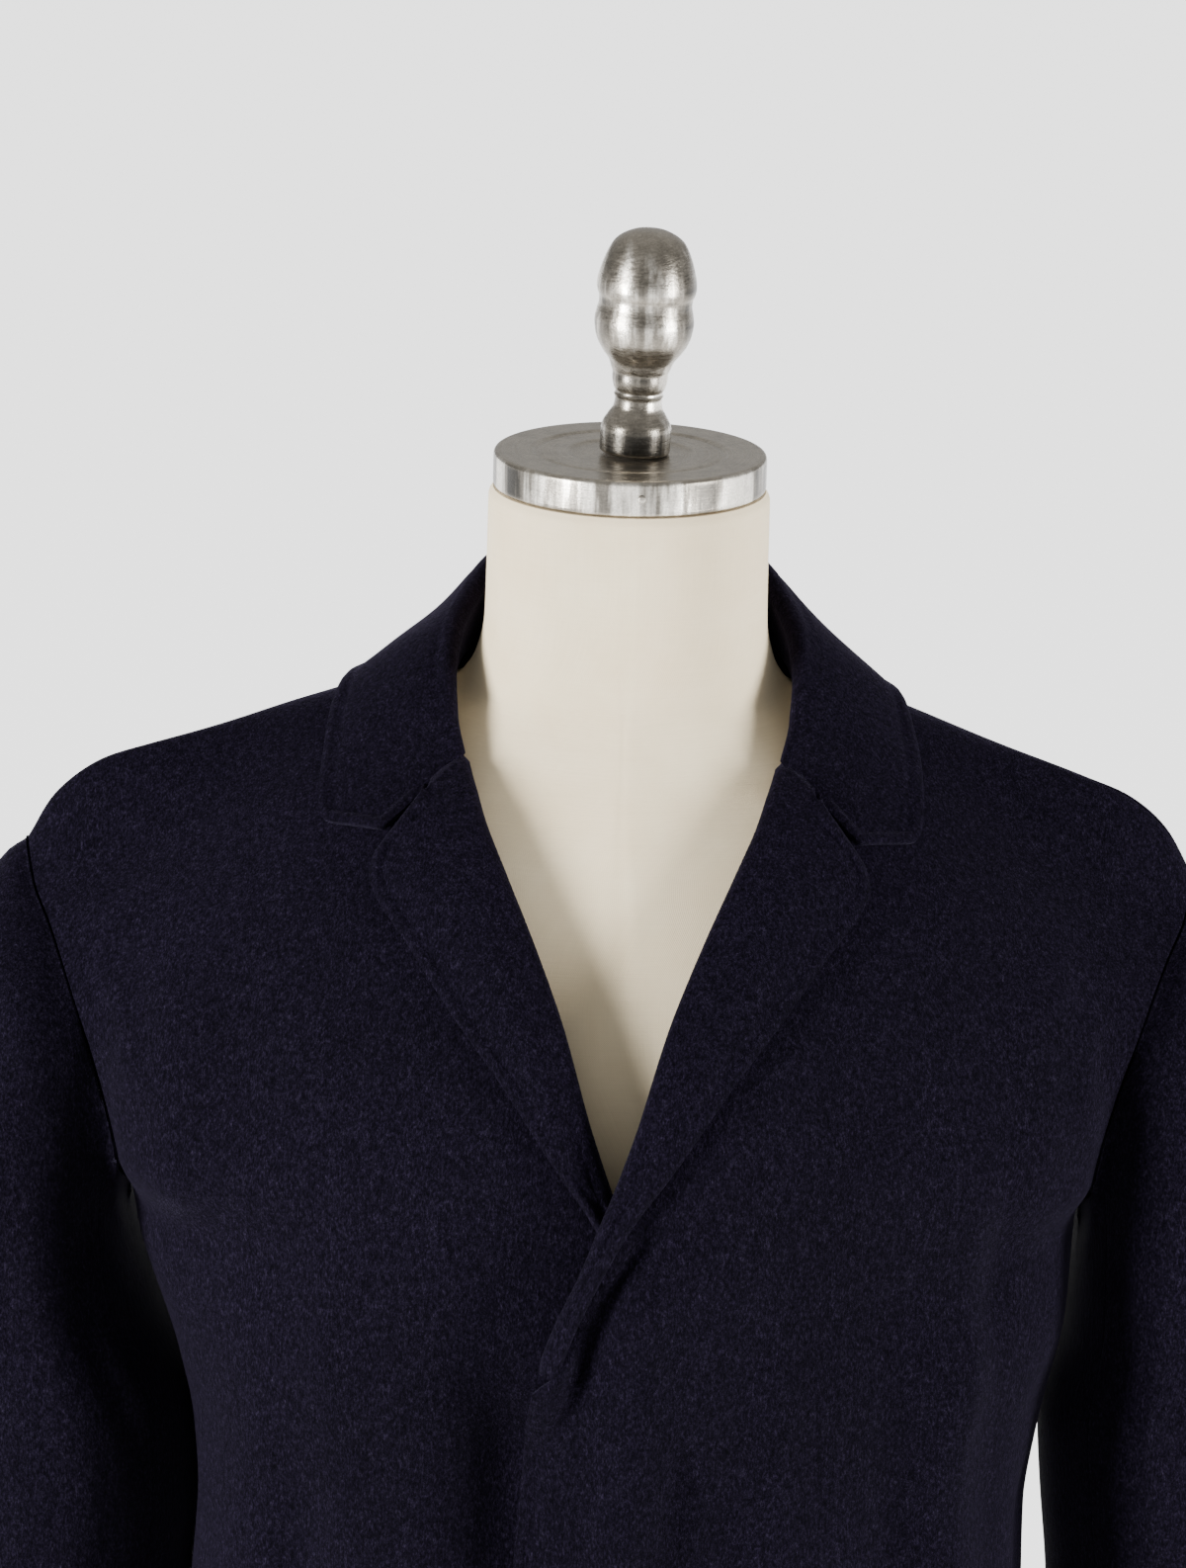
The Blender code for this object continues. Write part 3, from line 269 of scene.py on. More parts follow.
COLLAR_ROOM = 0.0080     # more room near the neck, for the collar and the facings

# Turned profiles, run down the outer side. columns: radius, height above the piece's lowest level
CAP_PROFILE = (
    (0.0000, 0.0148), (0.0260, 0.0148), (0.0275, 0.0157), (0.0400, 0.0157), (0.0407, 0.0150),
    (0.0420, 0.0150), (0.0427, 0.0160), (0.0590, 0.0160), (0.0600, 0.0150), (0.0600, 0.0010),
    (0.0590, 0.0000), (0.0000, 0.0000),
)
KNOB_PROFILE = (
    (0.0000, 0.0995), (0.0060, 0.0988), (0.0108, 0.0970), (0.0150, 0.0940), (0.0175, 0.0900),
    (0.0195, 0.0850), (0.0207, 0.0810), (0.0217, 0.0765), (0.0219, 0.0740), (0.0214, 0.0712),
    (0.0205, 0.0690), (0.0204, 0.0665), (0.0212, 0.0625), (0.0218, 0.0586), (0.0213, 0.0540),
    (0.0200, 0.0497), (0.0175, 0.0453), (0.0142, 0.0408), (0.0130, 0.0375), (0.0122, 0.0353),
    (0.0122, 0.0335), (0.0113, 0.0290), (0.0103, 0.0268), (0.0109, 0.0258), (0.0103, 0.0240),
    (0.0107, 0.0205), (0.0130, 0.0165), (0.0151, 0.0125), (0.0155, 0.0100), (0.0155, 0.0010),
    (0.0145, 0.0000), (0.0000, 0.0000),
)
FOOT_PROFILE = (
    (0.0000, FOOT_HEIGHT), (0.1950, FOOT_HEIGHT), (0.2050, FOOT_HEIGHT - 0.003),
    (0.2100, FOOT_HEIGHT - 0.009), (0.2100, 0.0000), (0.0000, 0.0000),
)


# -------- smooth curves through tables
def smooth(knots, rows, at):
    """Monotone cubic through rows (first axis) at the knots, read at each value of at."""
    knots = np.asarray(knots, float)
    rows = np.asarray(rows, float)
    at = np.clip(np.asarray(at, float), knots[0], knots[-1])
    step = np.diff(knots).reshape((-1,) + (1,) * (rows.ndim - 1))
    rise = np.diff(rows, axis=0) / step
    slope = np.empty_like(rows)
    slope[0] = rise[0]
    slope[-1] = rise[-1]
    before, after = rise[:-1], rise[1:]
    same_way = before * after > 0
    weight_a = 2 * step[1:] + step[:-1]
    weight_b = step[1:] + 2 * step[:-1]
    safe_before = np.where(same_way, before, 1.0)
    safe_after = np.where(same_way, after, 1.0)
    mean = (weight_a + weight_b) / (weight_a / safe_before + weight_b / safe_after)
    slope[1:-1] = np.where(same_way, mean, 0.0)
    index = np.clip(np.searchsorted(knots, at, side="right") - 1, 0, len(knots) - 2)
    width = knots[index + 1] - knots[index]
    part = (at - knots[index]) / width

    def read(values, shift=0):
        """The row that each value of at needs: a shared one, or each point's own."""
        if values.ndim > at.ndim and values.shape[1:1 + at.ndim] == at.shape:
            picked = np.take_along_axis(values, (index + shift)[None, ..., None], axis=0)
            return picked[0]
        return values[index + shift]

    extra = (...,) + (None,) * (read(rows).ndim - at.ndim)
    part, width = part[extra], width[extra]
    bend = part ** 2 * (3 - 2 * part)
    leave = part * (1 - part) ** 2 * width
    arrive = part ** 2 * (part - 1) * width
    return (1 - bend) * read(rows) + bend * read(rows, 1) + leave * read(slope) + arrive * read(slope, 1)


def table_curve(table, key, columns, at):
    """Smooth curve through the named columns of a table, read at the values of its key column."""
    table = np.array(sorted(table, key=lambda row: row[key]))
    return smooth(table[:, key], table[:, columns], at)


def unit(vector):
    """The vectors scaled to length 1."""
    return vector / np.maximum(np.linalg.norm(vector, axis=-1, keepdims=True), 1e-12)


def together(a, b):
    """Two arrays of numbers brought to one shape."""
    return np.broadcast_arrays(np.asarray(a, float), np.asarray(b, float))


def lengths(line):
    """The length run so far at each point of a line."""
    return np.concatenate([[0.0], np.cumsum(np.linalg.norm(np.diff(line, axis=0), axis=1))])


def ease(value):
    """0 to 1 with level ends."""
    value = np.clip(value, 0.0, 1.0)
    return value * value * (3 - 2 * value)


# -------- the coat body as one surface
RIDGE_POINTS = np.array(RIDGE)
RIDGE_LENGTH = lengths(RIDGE_POINTS)
RIDGE_ACROSS = RIDGE_LENGTH / RIDGE_LENGTH[-1]
NECK_ACROSS = RIDGE_ACROSS[RIDGE_NECK_POINT]
ROW_DOWNS = [row[0] for row in BODY_ROWS]
DOWNS = np.array(ROW_DOWNS[:RIDGE_PLACE] + [0.0] + ROW_DOWNS[RIDGE_PLACE:])


def level_row(row, across):
    """One level of the body from its centre (across 0) to its side (across 1)."""
    _, centre_y, centre_z, side_x, side_y, side_z, turn = row
    centre = np.array([0.0, centre_y, centre_z])
    side = np.array([side_x, side_y, side_z])
    forward = np.array([FULLNESS * side_x, centre_y, centre_z + 0.25 * (side_z - centre_z)])
    straight = side + (centre - side) * 0.35
    barrel = np.array([side_x, side_y + TURN_DEPTH * (centre_y - side_y), side_z])
    inward = straight + (barrel - straight) * turn
    a = across[..., None]
    b = 1 - a
    return b ** 3 * centre + 3 * a * b ** 2 * forward + 3 * a ** 2 * b * inward + a ** 3 * side


def plain_body(across, down):
    """A point for each pair, before front and back agree on the side seam."""
    rows = [level_row(row, across) for row in BODY_ROWS]
    rows.insert(RIDGE_PLACE, smooth(RIDGE_ACROSS, RIDGE_POINTS, across))
    return smooth(DOWNS, np.stack(rows), down)


def body(across, down):
    """The outer face: across runs 0 to 1 from centre to side, minus on the wearer's right."""
    across, down = together(across, down)
    half = np.abs(across)
    point = plain_body(half, down)
    side = np.ones_like(half)
    own = plain_body(side, down)
    other = plain_body(side, -down)
    below = (np.abs(down) >= UNDERARM)[..., None]
    point = point + np.where(below, 0.5 * (other - own), 0.0) * (half ** 4)[..., None]
    return point * np.where(across[..., None] < 0, [-1, 1, 1], [1, 1, 1])


def body_normal(across, down):
    """Outward unit normal of body()."""
    across, down = together(across, down)
    along_across = body(np.minimum(across + SMALL, 1.0), down) - body(np.maximum(across - SMALL, -1.0), down)
    along_down = body(across, down + SMALL) - body(across, down - SMALL)
    return unit(np.cross(along_down, along_across))


def across_at(x, down):
    """The across value where body() has this x at this level."""
    x, down = together(x, down)
    low = -np.ones_like(x)
    high = np.ones_like(x)
    for _ in range(20):
        middle = 0.5 * (low + high)
        beyond = body(middle, down)[..., 0] > x
        high = np.where(beyond, middle, high)
        low = np.where(beyond, low, middle)
    return 0.5 * (low + high)


def down_at(x, z):
    """The level of the front where body() has this x and this height."""
    x, z = together(x, z)
    low = np.zeros_like(x)
    high = np.full_like(x, DOWNS[-1])
    for _ in range(18):
        middle = 0.5 * (low + high)
        above = body(across_at(x, middle), middle)[..., 2] > z
        low = np.where(above, middle, low)
        high = np.where(above, high, middle)
    return 0.5 * (low + high)


def fold_height(point, face):
    """How far the soft folds raise a panel at each of its points."""
    total = np.zeros(point.shape[:-1])
    x, z = point[..., 0], point[..., 2]
    for fold_face, top_x, top_z, bottom_x, bottom_z, width, height in FOLDS:
        if fold_face != face:
            continue
        part = np.clip((top_z - z) / (top_z - bottom_z), 0.0, 1.0)
        middle = top_x + (bottom_x - top_x) * part
        window = ease(part / 0.3) * ease((1 - part) / 0.3)
        total += height * window * np.exp(-((x - middle) / width) ** 2)
    return total


def lap_lift(side, point):
    """How far the wearer's left front stands off the right one near the centre."""
    if side < 0:
        return np.zeros(point.shape[:-1])
    height = table_curve(LAP_LIFT, 0, 1, point[..., 2])
    return height * (1 - ease((point[..., 0] - LIFT_FULL) / (LIFT_END - LIFT_FULL)))


def hang(points):
    """The coat hangs a little askew: its left shoulder lies lower, its right one reaches further out."""
    x, z = points[..., 0], points[..., 2]
    left = ease((x - 0.06) / 0.12) * ease((z - 1.25) / 0.10)
    chest = ease((z - 1.12) / 0.10)
    right = ease((-x - 0.15) / 0.10) * (chest + (1 - chest) * ease((-x - 0.20) / 0.05))
    moved = points.copy()
    moved[..., 0] -= RIGHT_REACH * right
    moved[..., 2] -= LEFT_DROP * left
    return moved


def draw_in(points):
    """The wearer's right side is drawn in a little more, from the waist to the underarm."""
    x, z = points[..., 0], points[..., 2]
    at_side = ease((-x - 0.130) / 0.060)
    at_level = ease((WAIST_TOP - z) / 0.070) * ease((z - WAIST_BOTTOM) / 0.250)
    return points + (WAIST_IN * at_side * at_level)[..., None] * [1, 0, 0]


def arm_in(side, points):
    """The wearer's right sleeve hangs closer to the body below the underarm."""
    if side > 0:
        return points
    return points + (ARM_IN * ease((ARM_IN_TOP - points[..., 2]) / ARM_IN_SPAN))[..., None] * [1, 0, 0]


def front_face(side, across, down, offset=0.0):
    """A front's outer face with folds and lift, moved out by offset."""
    point = body(across, down)
    normal = body_normal(across, down)
    edge_fade = 1 - ease((np.abs(across) - 0.9) / 0.1)
    fold = fold_height(point * [side, 1, 1], 1) * edge_fade
    if side < 0:
        fold = fold * ease((point[..., 0] + HIDDEN_REACH) / HIDDEN_FADE)
    height = fold + lap_lift(side, point) + offset
    moved = point + normal * height[..., None]
    return draw_in(moved * [side, 1, 1]), normal * [side, 1, 1]


def front_edge_across(downs):
    """Where a front's inner border lies: inside the turn of the lapel, or at the lapping edge."""
    across = across_at(np.full_like(downs, 0.030), downs)
    for _ in range(6):
        z = body(across, downs)[:, 2]
        turned_over = ease((z - BREAK_HEIGHT) / BREAK_LENGTH)
        x = table_curve(FRONT_EDGE, 0, 1, z) + (FOLD_RADIUS + EDGE_RECESS) * turned_over
        across = across_at(x, downs)
    near_ridge = 1 - ease(downs / 0.050)
    return across + (NECK_ACROSS - across) * near_ridge


def sleeve(around, along):
    """A left sleeve's outer face: around runs 0 to 1 from the underarm forward and over."""
    around, along = together(around, along)
    seam = body(np.ones_like(around), UNDERARM * (1 - 2 * around))
    rings = [seam]
    angle = 2 * math.pi * around
    for _, inner_x, inner_z, outer_x, outer_z, centre_y, half_depth in SLEEVE_ROWS:
        x = 0.5 * (inner_x + outer_x) - 0.5 * (outer_x - inner_x) * np.cos(angle)
        z = 0.5 * (inner_z + outer_z) - 0.5 * (outer_z - inner_z) * np.cos(angle)
        y = centre_y - half_depth * np.sin(angle)
        rings.append(np.stack([x, y, z], -1))
    return smooth([0.0] + [row[0] for row in SLEEVE_ROWS], np.stack(rings), along)


def sleeve_normal(around, along):
    """Outward unit normal of sleeve()."""
    around, along = together(around, along)
    lower = np.maximum(along - SMALL, 0.0)
    forward = sleeve(np.mod(around + SMALL, 1.0), along) - sleeve(np.mod(around - SMALL, 1.0), along)
    return unit(np.cross(sleeve(around, along + SMALL) - sleeve(around, lower), forward))


def seam_inward(own, other):
    """The wall's direction at the armhole: along the mitre where both walls turn the same way."""
    agree = ease(((own * other).sum(-1) - MITRE_FROM) / MITRE_SPAN)[..., None]
    mitre = unit(own + other)
    stretch = 1 / np.maximum((mitre * own).sum(-1, keepdims=True), MITRE_LEAST)
    return -CLOTH * (own * (1 - agree) + mitre * stretch * agree)


def armhole_inward(downs, for_sleeve):
    """The wall's direction along the armhole seam, for the sleeve or for the body."""
    around = (1 - downs / UNDERARM) / 2
    body_side = body_normal(np.full_like(downs, 0.999), downs)
    sleeve_side = sleeve_normal(around, np.full_like(downs, 0.004))
    if for_sleeve:
        return seam_inward(sleeve_side, body_side)
    return seam_inward(body_side, sleeve_side)


def side_inward(downs):
    """The shared wall direction along a side seam below the underarm."""
    front = body_normal(np.full_like(downs, 0.999), downs)
    back = body_normal(np.full_like(downs, 0.999), -downs)
    return -CLOTH * unit(front + back)


def lapel_border(part):
    """Roll line and outer edge of the lapel, as x and down, from the gorge (0) to the break (1)."""
    table = np.array(LAPEL_ROWS)
    length = lengths(table[:, 2:4])
    key = 0.5 * length / length[-1] + 0.5 * np.linspace(0.0, 1.0, len(table))
    roll_x, roll_z, edge_x, edge_z = smooth(key, table, part).T
    return roll_x, down_at(roll_x, roll_z), edge_x, down_at(edge_x, edge_z)


def collar_rails(part):
    """Crease, stand bottom, fall middle and fall edge at each station of the left half."""
    table = np.array(COLLAR_ROWS)
    key = np.linspace(0.0, 1.0, len(table))
    rows = smooth(key, table, part)
    crease, bottom = rows[:, 0:3], rows[:, 3:6]
    edge_x, edge_down, swell = rows[:, 6], rows[:, 7], rows[:, 8]
    edge_across = across_at(edge_x, edge_down)
    normal = body_normal(edge_across, edge_down)
    edge = body(edge_across, edge_down) + normal * (CLOTH + FALL_CLEARANCE)
    middle = 0.5 * (crease + edge) + normal * swell[:, None]
    notch_down = down_at(*NOTCH)
    notch_across = across_at(NOTCH[0], notch_down)
    notch = body(notch_across, notch_down)
    notch = notch + body_normal(notch_across, notch_down) * (CLOTH + 1.5 * FALL_CLEARANCE)
    bent = ease((part - 0.80) / 0.20)[:, None]
    middle = middle + (notch - middle) * bent
    return crease, bottom, middle, edge


def collar_section(part):
    """Outer face of the folded wall at each station: stand, turn, fall."""
    crease, bottom, middle, edge = collar_rails(part)
    tip = unit(crease - 0.5 * (bottom + middle))
    thick = middle - bottom
    thick = unit(thick - tip * (thick * tip).sum(-1, keepdims=True))
    centre = crease - tip * FOLD_RADIUS
    angles = np.linspace(0.0, math.pi, TURN_STEPS)
    turn = [centre + FOLD_RADIUS * (-thick * math.cos(a) + tip * math.sin(a)) for a in angles]
    stand = [bottom + (turn[0] - bottom) * share for share in (0.0, 0.35, 0.7)]
    fall = []
    straight = ease((part - 0.80) / 0.20)[:, None]
    for share in np.linspace(0.0, 1.0, FALL_COLUMNS)[1:]:
        weights = ((1 - share) * (1 - 2 * share), 4 * share * (1 - share), share * (2 * share - 1))
        curved = weights[0] * turn[-1] + weights[1] * middle + weights[2] * edge
        if share < 0.5:
            bent = turn[-1] + (middle - turn[-1]) * 2 * share
        else:
            bent = middle + (edge - middle) * (2 * share - 1)
        fall.append(curved + (bent - curved) * straight)
    return np.stack(stand + turn + fall, axis=1)


def grid_normal(grid):
    """Unit normal at each point of a grid."""
    return unit(np.cross(np.gradient(grid, axis=0), np.gradient(grid, axis=1)))


def inside_coat(points):
    """Moves the canvas body's points in until they clear the coat's inner face."""
    across, down = np.meshgrid(np.linspace(-1.0, 1.0, 121), np.linspace(-0.45, 0.45, 181))
    skin = body(across, down).reshape(-1, 3)
    normal = body_normal(across, down).reshape(-1, 3)
    nearest = np.array([np.argmin(((skin - point) ** 2).sum(-1)) for point in points])
    height = ((points - skin[nearest]) * normal[nearest]).sum(-1)
    x, y = np.abs(points[:, 0]), points[:, 1]
    collar_room = COLLAR_ROOM * ease((0.125 - x) / 0.025) * ease((0.030 - y) / 0.020)
    excess = np.maximum(height + CLOTH + FORM_CLEARANCE + collar_room, 0.0)
    coat_part = ease((1.4660 - points[:, 2]) / 0.0060) * (points[:, 2] > 1.0)
    return points - normal[nearest] * (excess * coat_part)[:, None]


# -------- surface form finer than the solids
CREASE_DEPTH = 1.35      # share of the heights below that is used
RANDOM = np.random.default_rng(7)
WAVES = [(RANDOM.normal(size=3), RANDOM.uniform(0, 2 * math.pi)) for _ in range(9)]

# Finer creases of the body: soft ridges (plus) and troughs (minus) that wander.
# columns: face (1 front, -1 back), top x, top z, bottom x, bottom z, width, height, wander
CREASES = (
    (1, 0.0175, 1.255, 0.003, 1.020, 0.0150, 0.0052, 0.000),
    (1, 0.034, 1.180, 0.026, 0.960, 0.0070, -0.0022, 0.002),
    (1, -0.088, 1.260, -0.090, 0.980, 0.0300, 0.0026, 0.000),
    (1, -0.044, 1.225, -0.046, 0.900, 0.0210, -0.0058, 0.000),
    (1, 0.158, 1.230, 0.152, 1.000, 0.0110, 0.0030, 0.004),
    (1, 0.196, 1.180, 0.190, 1.000, 0.0090, -0.0020, 0.002),
    (1, 0.060, 1.215, 0.058, 0.900, 0.0120, -0.0022, 0.006),
    (1, 0.082, 1.240, 0.078, 0.880, 0.0100, 0.0018, 0.005),
    (1, 0.170, 1.300, 0.172, 1.000, 0.0090, -0.0020, 0.004),
    (1, 0.210, 1.340, 0.205, 1.230, 0.0070, 0.0022, 0.002),
    (1, -0.212, 1.340, -0.206, 1.240, 0.0070, 0.0022, 0.002),
    (1, -0.110, 1.300, -0.118, 0.950, 0.0140, 0.0018, 0.008),
    (1, -0.150, 1.140, -0.146, 0.900, 0.0080, 0.0016, 0.005),
    (1, -0.050, 1.120, -0.055, 0.800, 0.0120, 0.0014, 0.006),
    (-1, 0.020, 1.380, 0.010, 0.900, 0.0160, -0.0022, 0.006),
    (-1, 0.075, 1.300, 0.085, 0.900, 0.0120, -0.0018, 0.006),
    (-1, -0.085, 1.320, -0.078, 0.850, 0.0120, -0.0020, 0.006),
    (-1, 0.165, 1.250, 0.155, 0.900, 0.0120, 0.0022, 0.005),
    (-1, -0.168, 1.260, -0.160, 0.850, 0.0120, 0.0022, 0.005),
    (-1, -0.025, 1.000, -0.020, 0.560, 0.0140, 0.0022, 0.006),
)
# The same on a sleeve. columns: around, along start, along end, width in around, height
SLEEVE_CREASES = (
    (0.30, 0.015, 0.300, 0.020, 0.0022),
    (0.36, 0.020, 0.180, 0.014, -0.0020),
    (0.42, 0.030, 0.420, 0.030, 0.0016),
    (0.22, 0.040, 0.380, 0.018, 0.0020),
    (0.16, 0.020, 0.260, 0.016, -0.0022),
    (0.66, 0.020, 0.300, 0.024, 0.0018),
    (0.74, 0.060, 0.450, 0.020, -0.0020),
    (0.82, 0.030, 0.330, 0.018, 0.0018),
)


def sway(points, size):
    """A slow wave over the cloth, about plus or minus one, whose humps are size across."""
    total = np.zeros(points.shape[:-1])
    for direction, phase in WAVES:
        total += np.sin(points @ (direction * (2.2 / size)) + phase)
    return total / 3.0


def creases(points, face):
    """How far the finer creases raise a panel at each of its points."""
    total = np.zeros(points.shape[:-1])
    x, z = points[..., 0], points[..., 2]
    for crease_face, top_x, top_z, bottom_x, bottom_z, width, height, wander in CREASES:
        if crease_face != face:
            continue
        part = np.clip((top_z - z) / (top_z - bottom_z), 0.0, 1.0)
        middle = top_x + (bottom_x - top_x) * part + wander * np.sin(9.0 * part + 40.0 * top_x)
        uneven = 1 + 0.35 * np.sin(14 * part + 90 * top_z)
        strength = CREASE_DEPTH * height * ease(part / 0.25) * ease((1 - part) / 0.35) * uneven
        total += strength * np.exp(-((x - middle) / (width * (0.8 + 0.5 * part))) ** 2)
    return total


def grid_steps(length, step):
    """Even distances from 0 to length, about a step apart."""
    return np.linspace(0.0, length, max(3, int(round(length / step)) + 1))


# distances from a sewn edge at which the shells have points, before their even steps
EDGE_STEPS = np.array([0.0, 0.0016, 0.0031, 0.0046, 0.0059, 0.0072, 0.0088, 0.0110, 0.0140])


def from_edge(total, step):
    """Distances from a border to total: short steps by the edge, then even ones."""
    rest = total - EDGE_STEPS[-1]
    return np.concatenate([EDGE_STEPS, EDGE_STEPS[-1] + grid_steps(rest, step)[1:]])


STITCH_PLACE = 0.0062    # distance of the stitching from a sewn edge
STITCH_WIDTH = 0.0011


def edge_relief(points, border, groove, puff):
    """The sewn edge of double-faced cloth: a soft roll along the border and a dip where it is stitched."""
    tree = KDTree(len(border))
    for index, point in enumerate(border):
        tree.insert(Vector(point), index)
    tree.balance()
    flat = points.reshape(-1, 3)
    distance = np.array([tree.find(Vector(point))[2] for point in flat]).reshape(points.shape[:-1])
    dip = -groove * np.exp(-((distance - STITCH_PLACE) / STITCH_WIDTH) ** 2)
    roll = puff * np.exp(-((distance - 0.45 * STITCH_PLACE) / (0.38 * STITCH_PLACE)) ** 2)
    return dip + roll


def dense(line, step=0.0008):
    """A polyline's points about a step apart."""
    pieces = []
    for a, b in zip(line[:-1], line[1:]):
        count = max(1, int(np.linalg.norm(b - a) / step))
        pieces.append(a + (b - a) * np.linspace(0, 1, count, endpoint=False)[:, None])
    return np.concatenate(pieces + [line[-1:]])


def round_corner(grid, row_end, column_end, radius):
    """Rounds one corner of a grid: row_end and column_end are 0 or -1."""
    work = grid if row_end == 0 else grid[::-1]
    work = work if column_end == 0 else work[:, ::-1]
    down = np.concatenate([np.zeros((1, work.shape[1])),
                           np.cumsum(np.linalg.norm(np.diff(work, axis=0), axis=-1), axis=0)])
    side = np.concatenate([np.zeros((work.shape[0], 1)),
                           np.cumsum(np.linalg.norm(np.diff(work, axis=1), axis=-1), axis=1)], axis=1)
    p = np.clip(1 - down / radius, 0, 1)
    q = np.clip(1 - side / radius, 0, 1)
    length = np.maximum(np.hypot(p, q), 1e-9)
    factor = np.where((p > 0) & (q > 0), np.maximum(p, q) / length, 1.0)
    along_down = unit(np.gradient(work, axis=0))
    along_side = unit(np.gradient(work, axis=1))
    shift_down = along_down * (radius * p * (1 - factor))[..., None]
    shift_side = along_side * (radius * q * (1 - factor))[..., None]
    work += shift_down + shift_side


# -------- materials
WOOL_DEEP = (0.0014, 0.0010, 0.0028)
WOOL_MIDDLE = (0.0031, 0.0022, 0.0058)
WOOL_TIPS = (0.0062, 0.0048, 0.0105)


def node_tree(name):
    """A new material with its node tree and its shader."""
    made = bpy.data.materials.new(name)
    made.use_nodes = True
    tree = made.node_tree
    shader = tree.nodes["Principled BSDF"]
    return made, tree, shader


def add(tree, kind, **values):
    """A new node. Values go to its inputs of that name, or else to its own settings."""
    made = tree.nodes.new(kind)
    for key, value in values.items():
        if key in made.inputs:
            made.inputs[key].default_value = value
        else:
            setattr(made, key, value)
    return made


def noise(tree, vector, scale, detail=2.0, roughness=0.5, stretch=(1.0, 1.0, 1.0)):
    """Noise over the stretched coordinates."""
    mapping = add(tree, "ShaderNodeMapping")
    mapping.inputs["Scale"].default_value = stretch
    tree.links.new(vector, mapping.inputs["Vector"])
    made = add(tree, "ShaderNodeTexNoise", Scale=scale, Detail=detail, Roughness=roughness)
    tree.links.new(mapping.outputs["Vector"], made.inputs["Vector"])
    return made.outputs["Fac"]


def grey(value):
    """A colour without hue."""
    return (value, value, value)


def ramp(tree, factor, stops):
    """The factor turned into colours: stops are pairs of position and colour."""
    made = add(tree, "ShaderNodeValToRGB")
    elements = made.color_ramp.elements
    while len(elements) > len(stops):
        elements.remove(elements[-1])
    while len(elements) < len(stops):
        elements.new(0.5)
    for element, (position, colour) in zip(elements, stops):
        element.position = position
        element.color = (*colour, 1.0)
    tree.links.new(factor, made.inputs["Fac"])
    return made.outputs["Color"]


def mix(tree, factor, a, b, blend="MIX"):
    """Two colours mixed by the factor. Each of the three is a value or another node's output."""
    made = add(tree, "ShaderNodeMix", data_type="RGBA", blend_type=blend)
    for socket, value in ((0, factor), (6, a), (7, b)):
        if hasattr(value, "is_output"):
            tree.links.new(value, made.inputs[socket])
        elif socket == 0:
            made.inputs[socket].default_value = value
        else:
            made.inputs[socket].default_value = (*value, 1.0)
    return made.outputs[2]


def multiplied(tree, first, *others):
    """The product of several colours."""
    for other in others:
        first = mix(tree, 1.0, first, other, "MULTIPLY")
    return first


def bump(tree, height, strength, distance, before=None):
    """A normal bent by a height, on top of the one before."""
    made = add(tree, "ShaderNodeBump", Strength=strength, Distance=distance)
    tree.links.new(height, made.inputs["Height"])
    if before is not None:
        tree.links.new(before, made.inputs["Normal"])
    return made.outputs["Normal"]


def maths(tree, operation, a, b=0.0):
    """One sum: a and b are numbers or other nodes' outputs."""
    made = add(tree, "ShaderNodeMath", operation=operation)
    for socket, value in ((0, a), (1, b)):
        if hasattr(value, "is_output"):
            tree.links.new(value, made.inputs[socket])
        else:
            made.inputs[socket].default_value = value
    return made.outputs[0]


def settle(tree, shader, colour, normal, values):
    """Connects a material's colour and normal and sets its plain values."""
    tree.links.new(colour, shader.inputs["Base Color"])
    tree.links.new(normal, shader.inputs["Normal"])
    for key, value in values.items():
        shader.inputs[key].default_value = value


def wool_material():
    """Brushed navy wool: short matted nap, slightly combed downward, with a soft sheen."""
    made, tree, shader = node_tree("brushed_wool")
    place = add(tree, "ShaderNodeTexCoord").outputs["Object"]
    clouds = noise(tree, place, 11.0, 3.0, 0.55)
    tufts = noise(tree, place, 430.0, 3.0, 0.65, (1.0, 1.0, 0.62))
    fibres = noise(tree, place, 1250.0, 4.0, 0.75, (1.0, 1.0, 0.45))
    hairs = noise(tree, place, 1900.0, 2.0, 0.8, (1.0, 1.0, 0.30))
    base = ramp(tree, tufts, ((0.30, WOOL_DEEP), (0.52, WOOL_MIDDLE), (0.76, WOOL_TIPS)))
    light = ramp(tree, fibres, ((0.38, (0.28, 0.28, 0.30)), (0.52, grey(0.92)), (0.70, (3.3, 3.3, 3.1))))
    stray = ramp(tree, hairs, ((0.56, grey(1.0)), (0.74, (2.2, 2.2, 2.1))))
    cloudy = ramp(tree, clouds, ((0.30, grey(0.90)), (0.70, grey(1.10))))
    colour = multiplied(tree, base, light, stray, cloudy)
    normal = bump(tree, tufts, 0.60, 0.0010)
    normal = bump(tree, fibres, 0.70, 0.0006, normal)
    settle(tree, shader, colour, normal, {
        "Roughness": 0.95, "Specular IOR Level": 0.03, "Sheen Weight": 0.060,
        "Sheen Roughness": 0.30, "Sheen Tint": (0.62, 0.54, 0.90, 1.0)})
    return made


THREAD_PERIOD = 0.0009   # two threads of the linen side by side


